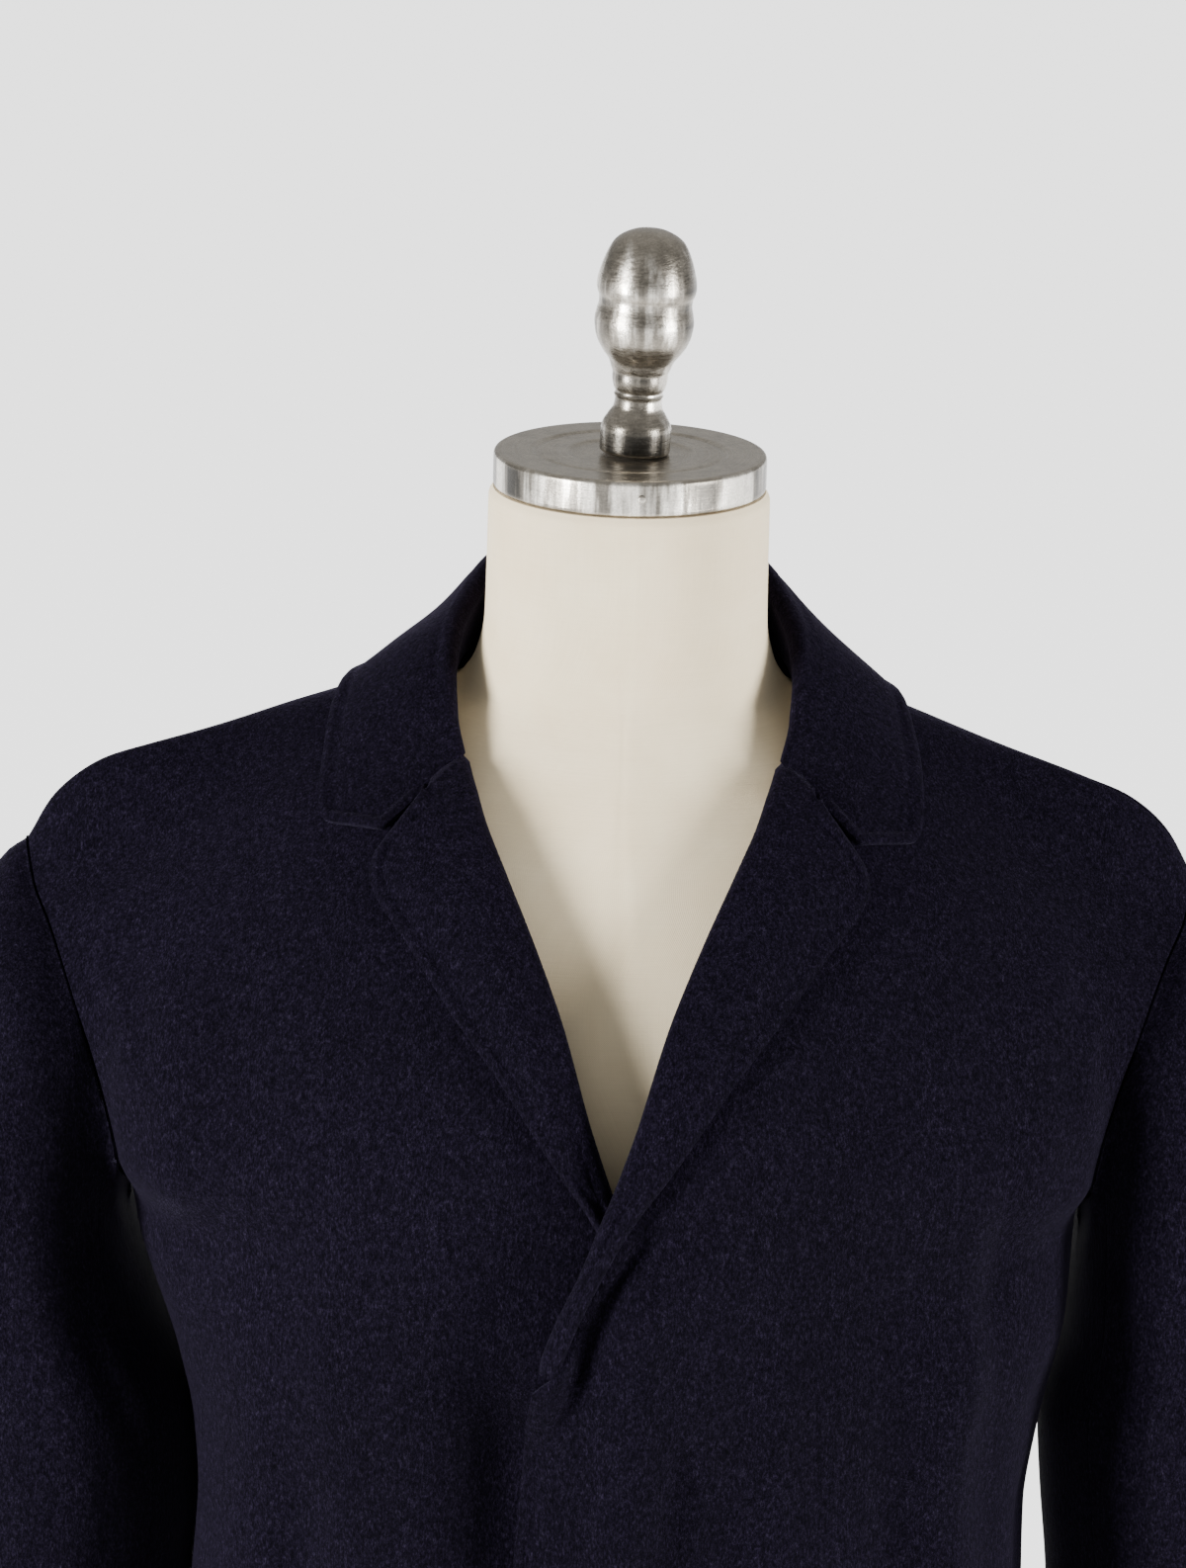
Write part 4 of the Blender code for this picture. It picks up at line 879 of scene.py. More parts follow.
def canvas_material():
    """Plain-woven cream linen stretched over the form, with slubs and a little ageing."""
    made, tree, shader = node_tree("linen_canvas")
    place = add(tree, "ShaderNodeTexCoord").outputs["Object"]
    flat = add(tree, "ShaderNodeUVMap", uv_map="cloth").outputs["UV"]
    parts = add(tree, "ShaderNodeSeparateXYZ")
    tree.links.new(flat, parts.inputs[0])
    turns = 2 * math.pi / THREAD_PERIOD
    warp = maths(tree, "SINE", maths(tree, "MULTIPLY", parts.outputs[0], turns))
    weft = maths(tree, "SINE", maths(tree, "MULTIPLY", parts.outputs[1], turns))
    weave = maths(tree, "MULTIPLY", warp, weft)
    slub_across = noise(tree, flat, 260.0, 2.0, 0.6, (0.10, 6.0, 1.0))
    slub_down = noise(tree, flat, 260.0, 2.0, 0.6, (6.0, 0.10, 1.0))
    stains = noise(tree, place, 22.0, 4.0, 0.6)
    colour = ramp(tree, stains, ((0.30, (0.735, 0.606, 0.404)), (0.72, (0.803, 0.688, 0.488))))
    slubs = maths(tree, "ADD", slub_across, slub_down)
    slub = maths(tree, "MULTIPLY", slubs, 0.5)
    thread = ramp(tree, slub, ((0.36, (0.955, 0.95, 0.94)), (0.66, grey(1.02))))
    crossing = maths(tree, "ADD", maths(tree, "MULTIPLY", weave, 0.5), 0.5)
    crossing = ramp(tree, crossing, ((0.0, (0.93, 0.925, 0.91)), (1.0, grey(1.03))))
    colour = multiplied(tree, colour, thread, crossing)
    normal = bump(tree, weave, 0.30, 0.00012)
    normal = bump(tree, slubs, 0.25, 0.00025, normal)
    normal = bump(tree, noise(tree, place, 60.0, 2.0), 0.15, 0.0008, normal)
    settle(tree, shader, colour, normal, {"Roughness": 0.88, "Specular IOR Level": 0.2, "Sheen Weight": 0.05})
    return made


def metal_material(name, colour, roughness, ring_scale, grain):
    """Turned aluminium: fine rings round the axis, a cast grain, and painted reflection: dark and bright
    streaks down its upright faces and a darker, warmer tone on its level ones.
    """
    made, tree, shader = node_tree(name)
    place = add(tree, "ShaderNodeTexCoord").outputs["Object"]
    parts = add(tree, "ShaderNodeSeparateXYZ")
    tree.links.new(place, parts.inputs[0])
    squares = [maths(tree, "MULTIPLY", parts.outputs[axis], parts.outputs[axis]) for axis in (0, 1)]
    radius = maths(tree, "SQRT", maths(tree, "ADD", *squares))
    rings_at = add(tree, "ShaderNodeCombineXYZ")
    tree.links.new(radius, rings_at.inputs[0])
    tree.links.new(parts.outputs[2], rings_at.inputs[2])
    rings = noise(tree, rings_at.outputs[0], ring_scale, 3.0, 0.7)
    reflection_streaks = noise(tree, place, 55.0, 4.0, 0.65, (1.0, 1.0, 0.10))
    cast = noise(tree, place, 1100.0, 3.0, 0.6)
    marks = noise(tree, place, 160.0, 4.0, 0.65)
    tone = ramp(tree, marks, [(stop, tuple(share * part for part in colour))
                              for stop, share in ((0.30, 0.78), (0.70, 1.10))])
    grainy = ramp(tree, cast, ((0.36, grey(0.80)), (0.62, grey(1.08))))
    # painted reflection: dark and bright streaks on the upright faces, standing in for the studio's
    # surroundings mirrored in the metal
    painted_reflection = ramp(tree, reflection_streaks, ((0.41, grey(0.07)), (0.50, (0.30, 0.295, 0.29)), (0.60, (1.35, 1.38, 1.42))))
    facing = add(tree, "ShaderNodeSeparateXYZ")
    tree.links.new(add(tree, "ShaderNodeNewGeometry").outputs["Normal"], facing.inputs[0])
    upright = maths(tree, "SUBTRACT", 1.0, maths(tree, "ABSOLUTE", facing.outputs[2]))
    # level faces get a flat, darker, warmer painted reflection tone; upright faces get the painted streaks
    painted_reflection = mix(tree, upright, (0.80, 0.77, 0.72), painted_reflection)
    colour = multiplied(tree, tone, grainy, painted_reflection)
    rough = ramp(tree, rings, ((0.30, grey(roughness - 0.07)), (0.70, grey(roughness + 0.12))))
    tree.links.new(rough, shader.inputs["Roughness"])
    normal = bump(tree, rings, 0.30, 0.00010)
    normal = bump(tree, cast, grain, 0.00018, normal)
    settle(tree, shader, colour, normal, {"Metallic": 1.0})
    return made


wool = wool_material()
canvas = canvas_material()
metal = metal_material("turned_aluminium", (0.58, 0.54, 0.475), 0.26, 900.0, 0.45)


# -------- making pieces
def place_mesh(name, mesh, finish, replaced):
    """A mesh as a piece of the row that stands for the replaced nodes."""
    made = bpy.data.objects.new(name, mesh)
    mesh.materials.append(finish)
    bpy.context.scene.collection.objects.link(made)
    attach(made, "root")
    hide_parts(*replaced)
    return made


SEAM_ROUND = 0.45        # share of the rounding at an edge that is sewn to another piece
EDGE_ROUND = 0.00115     # rounding of a free edge
ROUND_SEGMENTS = 3
CORNER_ANGLE = 50        # degrees from which an edge of the form and its fittings stays sharp


def cloth(name, outer, inward, replaced, free):
    """A closed thin wall from a grid of outer points. The borders are top, end, bottom and start.

    free names the borders with no seam.
    """
    rows, columns = outer.shape[:2]
    count = rows * columns
    corners = np.arange(count).reshape(rows, columns)
    quads = np.stack([corners[:-1, :-1], corners[:-1, 1:], corners[1:, 1:], corners[1:, :-1]], -1)
    quads = quads.reshape(-1, 4)
    sides = {"top": corners[0, :-1], "end": corners[:-1, -1],
             "bottom": corners[-1, :0:-1], "start": corners[:0:-1, 0]}
    border = np.concatenate(list(sides.values()))
    following = np.roll(border, -1)
    rim = np.stack([border, border + count, following + count, following], -1)
    faces = np.concatenate([quads, quads[:, ::-1] + count, rim])
    points = hang(np.concatenate([outer.reshape(-1, 3), (outer + inward).reshape(-1, 3)]))
    first = points[quads]
    facing = np.cross(first[:, 2] - first[:, 0], first[:, 3] - first[:, 1])
    if (facing * inward.reshape(-1, 3)[quads[:, 0]]).sum() > 0:
        faces = faces[:, ::-1]
    mesh = bpy.data.meshes.new(name)
    mesh.from_pydata(points.tolist(), [], faces.tolist())
    mesh.shade_smooth()
    weight = {}
    free_points = np.isin(border, np.concatenate([sides[side] for side in free]))
    for a, b, is_free in zip(border.tolist(), following.tolist(), free_points.tolist()):
        value = 1.0 if is_free else SEAM_ROUND
        weight[(min(a, b), max(a, b))] = value
        weight[(min(a, b) + count, max(a, b) + count)] = value
    ends = np.empty(len(mesh.edges) * 2, int)
    mesh.edges.foreach_get("vertices", ends)
    ends = np.sort(ends.reshape(-1, 2), axis=1)
    values = [weight.get((a, b), 0.0) for a, b in ends.tolist()]
    attribute = mesh.attributes.new("bevel_weight_edge", "FLOAT", "EDGE")
    attribute.data.foreach_set("value", values)
    made = place_mesh(name, mesh, wool, replaced)
    rounding = made.modifiers.new("rounding", "BEVEL")
    rounding.limit_method = "WEIGHT"
    rounding.width = EDGE_ROUND
    rounding.segments = ROUND_SEGMENTS
    rounding.use_clamp_overlap = True
    rounding.harden_normals = False
    return made


def ring_mesh(name, points, rising):
    """A closed body from rings of points, which rise or sink along the grid's rows."""
    rings, columns = points.shape[:2]
    index = np.arange(rings * columns).reshape(rings, columns)
    after = np.roll(index, -1, axis=1)
    quads = np.stack([index[:-1], after[:-1], after[1:], index[1:]], -1).reshape(-1, 4)
    lids = [index[0][::-1], index[-1]]
    if not rising:
        quads = quads[:, [0, 3, 2, 1]]
        lids = [index[0], index[-1][::-1]]
    mesh = bpy.data.meshes.new(name)
    mesh.from_pydata(points.reshape(-1, 3).tolist(), [], quads.tolist() + [lid.tolist() for lid in lids])
    return mesh


def shade_turned(mesh):
    """Smooth shading, with the turned corners kept."""
    mesh.shade_smooth()
    mesh.set_sharp_from_angle(angle=math.radians(CORNER_ANGLE))


VIEW_STEP = 0.0034       # length between the shells' rows where they are seen closely
FAR_STEP = 0.0120        # the same below that
VIEW_DOWN = 0.470        # length down from the shoulder ridge where it changes


def fine_downs():
    """The levels of the body panels' rows."""
    near = grid_steps(UNDERARM, VIEW_STEP)
    middle = UNDERARM + grid_steps(VIEW_DOWN - UNDERARM, VIEW_STEP)[1:]
    far = VIEW_DOWN + grid_steps(DOWNS[-1] - VIEW_DOWN, FAR_STEP)[1:]
    return np.concatenate([near, middle, far])


FINE_DOWNS = fine_downs()
YOKE_FINE = FINE_DOWNS[FINE_DOWNS < UNDERARM - 1e-9]


ROLL_END = 1.1863        # where the lapel's own cloth stops and the front carries the roll on
ROLL_RISE = 0.0075
ROLL_WIDTH = 0.0042
TROUGH_DEPTH = 0.0046    # of the hollow on the roll's inner side
TROUGH_PLACE = 0.0085    # its distance from the roll's crest
TROUGH_WIDTH = 0.0055
DIP_DEPTH = 0.0085       # how far the under front gives way
DIP_X = -0.0300
DIP_WIDTH = 0.0330
# columns: height, x of the roll's crest beside the front edge
ROLL_CREST = ((1.1200, 1.1500, 1.1650, 1.1870, 1.2120, 1.2300, 1.2540),
              (-0.0300, -0.0280, -0.0250, -0.0205, -0.0125, -0.0045, 0.0080))


def break_roll(points):
    """The lapel's roll runs out in the front as a soft ridge with a trough beside it."""
    x, z = points[..., 0], points[..., 2]
    crest = np.interp(z, *ROLL_CREST)
    window = ease((z - 1.1460) / 0.0420) * (1 - ease((z - ROLL_END - 0.0040) / 0.0130))
    beyond = np.maximum(x - crest, 0.0)
    ridge = ROLL_RISE * window * np.exp(-(beyond / ROLL_WIDTH) ** 2)
    along = ease((z - 1.1500) / 0.0450) * (1 - ease((z - 1.2400) / 0.0220))
    trough = TROUGH_DEPTH * along * np.exp(-((x - crest - TROUGH_PLACE) / TROUGH_WIDTH) ** 2)
    return ridge - trough


def under_dip(points):
    """The under front gives way toward the centre, beneath the lapping one."""
    x, z = points[..., 0], points[..., 2]
    window = ease((1.1950 - z) / 0.0500) * ease((z - 0.880) / 0.100)
    return -DIP_DEPTH * window * np.exp(-((x - DIP_X) / DIP_WIDTH) ** 2)


FLY_X = 0.0115           # the line of stitching that closes the concealed fly
FLY_TOP = 1.125
FLY_DEPTH = 0.0006
FLY_WIDTH = 0.0013


def fly_stitching(points):
    """The faint line that closes the concealed fly, below the break."""
    x, z = points[..., 0], points[..., 2]
    line_x = FLY_X + 0.0006 * np.sin(z * 60)
    return -FLY_DEPTH * np.exp(-((x - line_x) / FLY_WIDTH) ** 2) * ease((FLY_TOP - z) / 0.03)


def seam_walls(inward, end, side, face):
    """Turns the wall along a panel's side border into those of its armhole and its side seam."""
    yoke_count = len(YOKE_FINE)
    inward[:yoke_count, end] = armhole_inward(face * YOKE_FINE, False) * [side, 1, 1]
    inward[yoke_count:, end] = side_inward(FINE_DOWNS[yoke_count:]) * [side, 1, 1]


def pull_in(grid, axis, end, distance=SEAM_HALF):
    """Draws one border of a wall back from its seam line, along the cloth."""
    place = [slice(None), slice(None)]
    nearby = [slice(None), slice(None)]
    place[axis] = 0 if end == 0 else -1
    nearby[axis] = 1 if end == 0 else -2
    place, nearby = tuple(place), tuple(nearby)
    grid[place] += unit(grid[nearby] - grid[place]) * distance


FRONT_REACH = 0.29       # width of a front, for the spacing of its columns
FRONT_STEP = 0.0042
CROWDING = 1.08          # columns lie a little closer toward the side seam
LAPPING_TOP = 1.200      # below this height the front's border is a sewn edge that shows
PANEL_SWAY = 0.0005      # height of the slow waves over a panel
SLEEVE_SWAY = 0.0006


def dress_front(name, side, node):
    """One front: the wearer's left (side 1) laps over the right (side -1)."""
    downs = FINE_DOWNS[:, None]
    edge = front_edge_across(FINE_DOWNS)[:, None]
    share = from_edge(FRONT_REACH, FRONT_STEP) / FRONT_REACH
    share = 1 - (1 - share) ** CROWDING
    across = edge + (1 - edge) * share[None, :]
    outer, normal = front_face(side, across, downs)
    inward = -CLOTH * normal
    fade = 1 - ease((np.abs(across) - 0.92) / 0.08)
    finer = creases(outer, 1) * fade + PANEL_SWAY * sway(outer, 0.045) * fade
    outer = outer + normal * finer[..., None]
    if side > 0:
        lapping = outer[:, 0][outer[:, 0, 2] < LAPPING_TOP]
        relief = edge_relief(outer, dense(lapping), 0.0006, 0.0007)
        outer = outer + normal * (relief + fly_stitching(outer) + break_roll(outer))[..., None]
    else:
        outer = outer + normal * under_dip(outer)[..., None]
    seam_walls(inward, -1, side, 1)
    pull_in(outer, 0, 0)
    pull_in(outer, 1, 1)
    return cloth(name, outer, inward, (node,), ("start", "bottom"))


SHOULDER_COLUMNS = 56    # of the back, from the neck to one side
NECK_COLUMNS = 42        # of the back, across the neck


def dress_back(name, node):
    """The back, in one piece from side seam to side seam."""
    share = 1 - (1 - np.linspace(0.0, 1.0, SHOULDER_COLUMNS)) ** CROWDING
    shoulder = NECK_ACROSS + (1 - NECK_ACROSS) * share
    neck = np.linspace(-NECK_ACROSS, NECK_ACROSS, NECK_COLUMNS)[1:-1]
    across = np.concatenate([-shoulder[::-1], neck, shoulder])[None, :]
    downs = -FINE_DOWNS[:, None]
    point = body(across, downs)
    normal = body_normal(across, downs)
    fade = 1 - ease((np.abs(across) - 0.85) / 0.15)
    height = (fold_height(point, -1) + creases(point, -1) + PANEL_SWAY * sway(point, 0.05)) * fade
    outer = draw_in(point + normal * height[..., None])
    inward = -CLOTH * normal
    seam_walls(inward, -1, 1, -1)
    seam_walls(inward, 0, -1, -1)
    pull_in(outer, 0, 0)
    pull_in(outer, 1, 0)
    pull_in(outer, 1, 1)
    return cloth(name, outer, inward, (node,), ("bottom",))


SLEEVE_VIEW = 0.3034     # length down the sleeve that is seen closely
CAP_ROLL = 0.0022        # rise of the sleeve's head just below its seam
FRONT_SEAM = 0.210       # length from the shoulder ridge down the armhole to the front sleeve seam
BACK_SEAM = 0.180        # the same at the back


def sleeve_relief(grid, around, alongs):
    """The height of a sleeve's creases, its slow waves and the roll of its head."""
    height = np.zeros(grid.shape[:2])
    for centre, start, end, width, rise in SLEEVE_CREASES:
        part = np.clip((alongs - start) / (end - start), 0, 1)
        window = ease(part / 0.3) * ease((1 - part) / 0.4)
        middle = centre + 0.012 * np.sin(7 * part + 30 * centre)
        height += rise * window[:, None] * np.exp(-((around[None, :] - middle[:, None]) / width) ** 2)
    height += SLEEVE_SWAY * sway(grid, 0.05) * ease(alongs / 0.02)[:, None]
    head = ease((around - 0.12) / 0.15) * ease((0.88 - around) / 0.15)
    height += head[None, :] * CAP_ROLL * (ease(alongs / 0.012) * (1 - ease((alongs - 0.012) / 0.05)))[:, None]
    return height


def dress_sleeve(side, upper_name, under_name):
    """A sleeve as one tube of points, cut along its two seams."""
    steps = FINE_DOWNS[FINE_DOWNS < UNDERARM + 1e-9]
    steps = steps[::2] if len(steps) % 2 == 1 else steps
    downs = np.concatenate([steps[:0:-1], -steps])
    around = (1 - downs / UNDERARM) / 2
    first = np.array([0.0, 0.0016, 0.0034])
    alongs = np.concatenate([first, first[-1] + grid_steps(0.30, 0.0042)[1:],
                             SLEEVE_VIEW + grid_steps(SLEEVE_ROWS[-1][0] - SLEEVE_VIEW, 0.009)[1:]])
    grid = sleeve(around[None, :], alongs[:, None])
    normal = sleeve_normal(around[None, :], alongs[:, None])
    inward = -CLOTH * normal
    inward[0] = armhole_inward(downs, True)
    outer = grid + normal * sleeve_relief(grid, around, alongs)[..., None]
    outer[0] += unit(outer[1] - outer[0]) * SEAM_HALF * 2
    outer[0, :, 0] += SLEEVE_PUSH
    seam_normal = body_normal(np.full_like(downs, 0.999), downs)
    at_underarm = ease((np.abs(downs) - 0.6 * UNDERARM) / (0.4 * UNDERARM))
    push = smooth(UNDERARM_PUSH[0], np.array(UNDERARM_PUSH[1])[:, None], alongs)
    outer += push[:, :, None] * (at_underarm[:, None] * seam_normal)[None]
    outer = arm_in(side, outer * [side, 1, 1])
    inward = inward * [side, 1, 1]
    front = int(np.argmin(np.abs(around - (1 - FRONT_SEAM / UNDERARM) / 2)))
    last = int(np.argmin(np.abs(around - (1 + BACK_SEAM / UNDERARM) / 2)))
    under_order = list(range(last, outer.shape[1] - 1)) + list(range(0, front + 1))
    pieces = ((upper_name, slice(front, last + 1), (0.34, 0.66), 0.158),
              (under_name, under_order, (0.20, 0.60), 0.064))
    for name, picked, flat, area in pieces:
        piece, walls = outer[:, picked].copy(), inward[:, picked].copy()
        pull_in(piece, 1, 0)
        pull_in(piece, 1, 1)
        cloth(name + "_shell", piece, walls, (name,), ("bottom",))


END_SHIFT = 0.0014       # how far the lapel's lower end draws in under the front's own roll
GORGE_TUCK = 0.0062      # length of the lapel's top that goes under the collar
LAPEL_LEVELS = 170
LAPEL_SPAN = 0.044       # width of a lapel, for the spacing of its columns
LAPEL_STEP = 0.0017
EXTRA_SPRING = 0.0012    # how much more a lapel springs than in the solids
EXTRA_LIFT = 0.0006


def dress_lapel(name, side, node):
    """A lapel: the strip of facing behind the front, the turn round its edge, and the face that shows."""
    part = np.linspace(0.0, 1.0, LAPEL_LEVELS)
    coarse = np.linspace(0.0, 1.0, 60)
    rails = [np.interp(part, coarse, values) for values in lapel_border(coarse)]
    roll_x, roll_down, edge_x, edge_down = (values[:, None] for values in rails)
    width = np.hypot(edge_x - roll_x, 0.6 * (edge_down - roll_down))
    shrink = np.clip(width / (3 * FOLD_RADIUS), 0.35, 1.0)
    start = FOLD_RADIUS / np.maximum(width, 2.2 * FOLD_RADIUS)
    share = 1 - from_edge(LAPEL_SPAN, LAPEL_STEP)[::-1] / LAPEL_SPAN
    columns = start + (1 - start) * share[None, :]
    x = roll_x + (edge_x - roll_x) * columns
    down = roll_down + (edge_down - roll_down) * columns
    spring = (LAPEL_SPRING + EXTRA_SPRING) * np.sin(math.pi * share)[None, :] * shrink
    top, top_normal = front_face(side, across_at(x, down), down, LAY + CLOTH + spring + EXTRA_LIFT)
    behind_x = roll_x + FOLD_RADIUS + FACING_WIDTH * np.array([[1.0, 0.5, 0.0]])
    behind_down = roll_down + 0.0 * behind_x
    depth = -(2 * CLOTH + LAY + BEHIND_EXTRA)
    back, back_normal = front_face(side, across_at(behind_x, behind_down), behind_down, depth)
    centre = 0.5 * (top[:, :1] + back[:, -1:])
    arm = 0.5 * (top[:, :1] - back[:, -1:])
    tip = unit(np.cross(top[:, :1] - back[:, -1:], np.gradient(centre[:, 0], axis=0)[:, None]))
    toward = centre - top[:, 3:4]
    tip = tip * np.sign((tip * toward).sum(-1, keepdims=True))
    angle = np.linspace(0.0, math.pi, 12)[1:-1][None, :, None]
    reach = np.linalg.norm(arm, axis=-1, keepdims=True)
    turn = centre - arm * np.cos(angle) + tip * reach * np.sin(angle)
    turn_normal = unit(turn - centre)
    outer = np.concatenate([back, turn, top], axis=1)
    normal = np.concatenate([-back_normal, turn_normal, top_normal], axis=1)
    first = back.shape[1] + turn.shape[1]
    border = np.concatenate([dense(top[:, -1]), dense(top[0, top.shape[1] // 2:])])
    relief = edge_relief(top, border, 0.0008, 0.0009)
    relief = relief + PANEL_SWAY * sway(top, 0.03) * np.sin(math.pi * share)[None, :]
    outer[:, first:] += top_normal * relief[..., None]
    tuck = GORGE_TUCK * np.array([1.0, 0.66, 0.33])[:, None, None]
    if side > 0:
        outer[..., 0] += END_SHIFT * ease((part - 0.970) / 0.030)[:, None]
    hidden = outer[:1] + unit(outer[:1] - outer[1:2]) * tuck - normal[:1] * (0.45 * tuck)
    outer = np.concatenate([hidden, outer])
    normal = np.concatenate([np.repeat(normal[:1], len(hidden), axis=0), normal])
    return cloth(name, outer, -CLOTH * normal, (node,), ("end",))


CORNER_RADIUS = 0.0050   # of the collar's front corners


def dress_collar(name, node):
    """The folded collar, mirrored from its left half."""
    half = collar_section(np.linspace(0.0, 1.0, COLLAR_HALF_STATIONS))
    other = half[:0:-1] * [-1, 1, 1]
    outer = np.concatenate([other, half])
    for row_end in (0, -1):
        round_corner(outer, row_end, -1, CORNER_RADIUS)
    normal = grid_normal(outer)
    middle = COLLAR_HALF_STATIONS - 1
    if normal[middle, -1, 1] < 0:
        normal = -normal
    fall = slice(3 + TURN_STEPS + 2, None)
    border = np.concatenate([dense(outer[:, -1]), dense(outer[0, outer.shape[1] // 2:]),
                             dense(outer[-1, outer.shape[1] // 2:])])
    relief = edge_relief(outer[:, fall], border, 0.0008, 0.0009) + SLEEVE_SWAY * sway(outer[:, fall], 0.035)
    outer[:, fall] += normal[:, fall] * relief[..., None]
    return cloth(name, outer, -CLOTH * normal, (node,), ("end", "top", "bottom"))


# -------- the form
PUSH_ROUNDS = 22         # how softly the canvas gives way where it goes under the collar
FORM_COLUMNS = 144
SEAM_WIDTH = 0.0011      # of the stitched seam down the centre front
SEAM_DEPTH = 0.0005
WELT_PLACE = 0.0030      # distance of the soft welts beside it
WELT_WIDTH = 0.0018
WELT_RISE = 0.0003


def dress_form(name, node):
    """The canvas body with a stitched centre-front seam on its neck and chest."""
    table = np.array(FORM_ROWS)[::-1]
    heights = np.concatenate([np.linspace(FORM_BOTTOM, 1.30, 40), np.linspace(1.305, 1.5400, 90),
                              [1.5412, 1.5424, 1.5432, 1.5437]])
    rows = smooth(table[:, 0], table[:, 1:], heights)
    angle = 2 * math.pi * np.arange(FORM_COLUMNS) / FORM_COLUMNS
    cosine, sine = np.cos(angle)[None, :], np.sin(angle)[None, :]
    half, front, back, exponent = (rows[:, column:column + 1] for column in range(4))
    x = half * np.sign(cosine) * np.abs(cosine) ** (2 / exponent)
    depth = np.where(sine > 0, back, front)
    y = depth * np.sign(sine) * np.abs(sine) ** (2 / exponent)
    points = np.stack([x, y, heights[:, None] + 0.0 * x], -1)
    covered = inside_coat(points.reshape(-1, 3)).reshape(points.shape)
    roll_x = table_curve(FRONT_EDGE, 0, 1, points[..., 2])
    in_opening = ease((roll_x + 0.0060 - np.abs(points[..., 0])) / 0.0120)
    bare = in_opening * ease((-0.0180 - points[..., 1]) / 0.0150)
    push = (covered - points) * (1 - bare)[..., None]
    soft = push.copy()
    for _ in range(PUSH_ROUNDS):
        soft[1:-1] = 0.25 * soft[:-2] + 0.5 * soft[1:-1] + 0.25 * soft[2:]
        soft = 0.25 * np.roll(soft, 1, axis=1) + 0.5 * soft + 0.25 * np.roll(soft, -1, axis=1)
    at_neck = ease((0.105 - np.abs(points[..., 0])) / 0.020) * ease((points[..., 2] - 1.415) / 0.015)
    points = hang(points + push + (soft - push) * at_neck[..., None])
    outward = unit(points * [1, 1, 0])
    seam = np.exp(-(points[..., 0] / SEAM_WIDTH) ** 2) * (points[..., 1] < 0)
    welt = np.exp(-((np.abs(points[..., 0]) - WELT_PLACE) / WELT_WIDTH) ** 2) * (points[..., 1] < 0)
    points = points + outward * (WELT_RISE * welt - SEAM_DEPTH * seam)[..., None]
    mesh = ring_mesh(name, points, True)
    shade_turned(mesh)
    around = np.linalg.norm(np.roll(points, -1, axis=1) - points, axis=-1)
    arc = np.concatenate([np.zeros((len(points), 1)), np.cumsum(around, axis=1)], axis=1)
    layer = mesh.uv_layers.new(name="cloth")
    loops = np.empty(len(mesh.loops), int)
    mesh.loops.foreach_get("vertex_index", loops)
    uv = np.stack([arc[:, :-1].reshape(-1)[loops], points[..., 2].reshape(-1)[loops]], -1)
    layer.data.foreach_set("uv", uv.reshape(-1))
    return place_mesh(name, mesh, canvas, (node,))


TURNED_COLUMNS = 160


def fine_profile(profile, step):
    """The turned profile with short steps, its corners kept but eased."""
    line = dense(profile, step)
    for _ in range(3):
        line[1:-1] = 0.25 * line[:-2] + 0.5 * line[1:-1] + 0.25 * line[2:]
    return line


def dress_turned(name, node, profile, location, step, lean=0.0, smooth_curve=False):
    """A turned piece of metal: its profile, run round its own axis."""
    points = np.array(profile)
    if smooth_curve:
        length = lengths(points)
        line = smooth(length, points, np.linspace(0, length[-1], int(length[-1] / step)))
    else:
        line = fine_profile(points, step)
    line = line[line[:, 0] > 1e-6]
    angle = 2 * math.pi * np.arange(TURNED_COLUMNS) / TURNED_COLUMNS
    grid = np.stack([line[:, :1] * np.cos(angle), line[:, :1] * np.sin(angle),
                     line[:, 1:] + 0.0 * angle[None, :]], -1)
    mesh = ring_mesh(name, grid, False)
    mesh.transform(Matrix.Translation(location) @ Matrix.Rotation(lean, 4, "Y"))
    shade_turned(mesh)
    return place_mesh(name, mesh, metal, (node,))


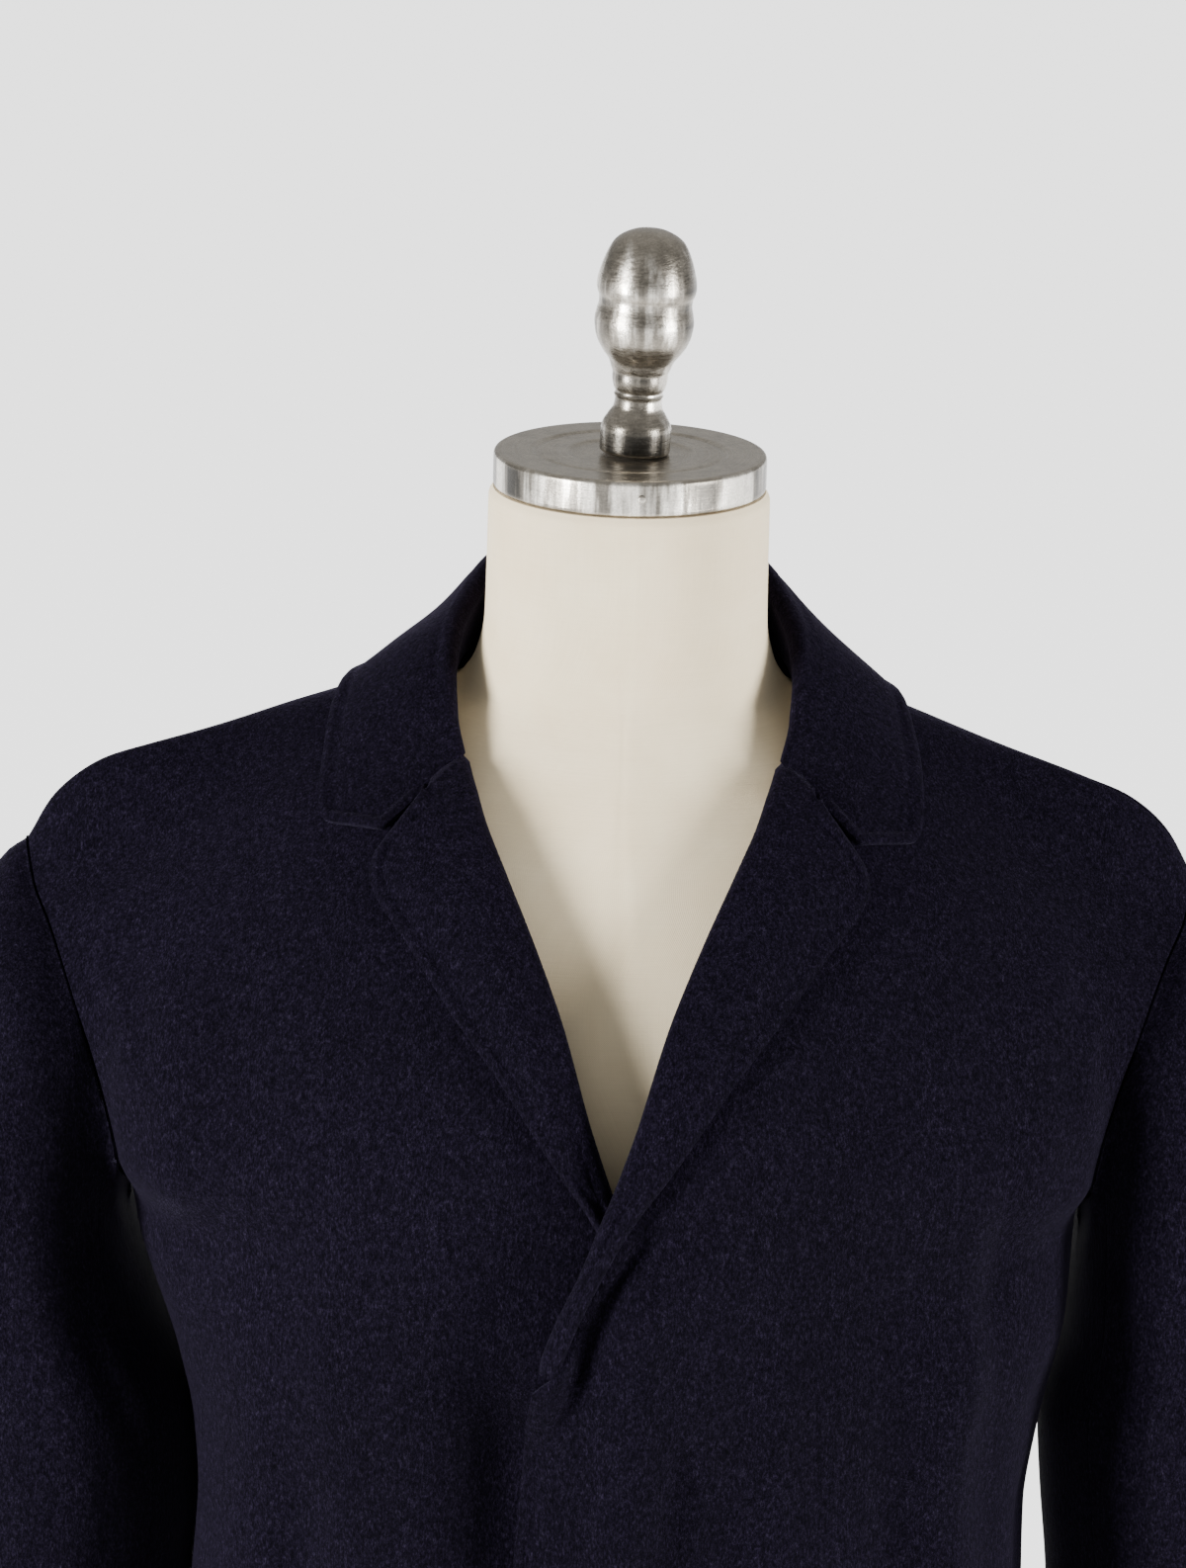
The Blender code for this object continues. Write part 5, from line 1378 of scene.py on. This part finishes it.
dress_form("form_shell", "form_body")
dress_front("coat_front_left_shell", 1, "coat_front_left")
dress_front("coat_front_right_shell", -1, "coat_front_right")
dress_back("coat_back_shell", "coat_back")
dress_sleeve(1, "sleeve_upper_left", "sleeve_under_left")
dress_sleeve(-1, "sleeve_upper_right", "sleeve_under_right")
dress_lapel("lapel_left_shell", 1, "lapel_left")
dress_lapel("lapel_right_shell", -1, "lapel_right")
dress_collar("collar_shell", "collar")
dress_turned("cap_shell", "form_cap", CAP_PROFILE, (0.0, 0.0, CAP_TOP - NECK_CAP_HEIGHT), 0.0006)
dress_turned("knob_shell", "form_knob", KNOB_PROFILE, KNOB_PLACE, 0.0009, KNOB_LEAN, True)
dress_turned("foot_shell", "form_foot", FOOT_PROFILE, (0.0, 0.0, 0.0), 0.004)
for node_name in ("form_cap_pin", "form_pole"):
    cad[node_name].material_slots[0].material = metal

# -------- stage and light
FLOOR_SIZE = 120.0
FLOOR_GREY = 0.35
FLOOR_GLOW = 2.32        # keeps the floor as pale as a lit studio's, out to the horizon
SURROUND = 0.52          # strength of the even light from all round
AIM = (0.0, 0.0, 1.20)   # both lights point at the chest
BOX_WIDTH = 0.7
BOX_HEIGHT = 1.6
# columns: name, place, power
SOFTBOXES = (
    ("side_left", (-2.45, -1.65, 1.50), 270.0),
    ("side_right", (2.55, -1.25, 1.35), 185.0),
)
bpy.ops.mesh.primitive_plane_add(size=FLOOR_SIZE, location=(0.0, 0.0, 0.0))
floor = bpy.context.object
floor.name = "floor"
floor_finish, _, floor_shader = node_tree("pale_floor")
for socket, value in {"Base Color": (*grey(FLOOR_GREY), 1.0), "Emission Color": (*grey(1.0), 1.0),
                      "Emission Strength": FLOOR_GLOW, "Roughness": 1.0, "Specular IOR Level": 0.0}.items():
    floor_shader.inputs[socket].default_value = value
floor.data.materials.append(floor_finish)
floor.visible_diffuse = False

world = bpy.data.worlds.new("studio")
world.use_nodes = True
world.node_tree.nodes["Background"].inputs["Color"].default_value = (*grey(1.0), 1.0)
world.node_tree.nodes["Background"].inputs["Strength"].default_value = SURROUND
bpy.context.scene.world = world

for name, place, power in SOFTBOXES:
    light = bpy.data.lights.new(name, "AREA")
    light.shape = "RECTANGLE"
    light.size = BOX_WIDTH
    light.size_y = BOX_HEIGHT
    light.energy = power
    box = bpy.data.objects.new(name, light)
    bpy.context.scene.collection.objects.link(box)
    turned = (Vector(AIM) - Vector(place)).to_track_quat("-Z", "Y").to_matrix().to_4x4()
    box.matrix_world = Matrix.Translation(place) @ turned
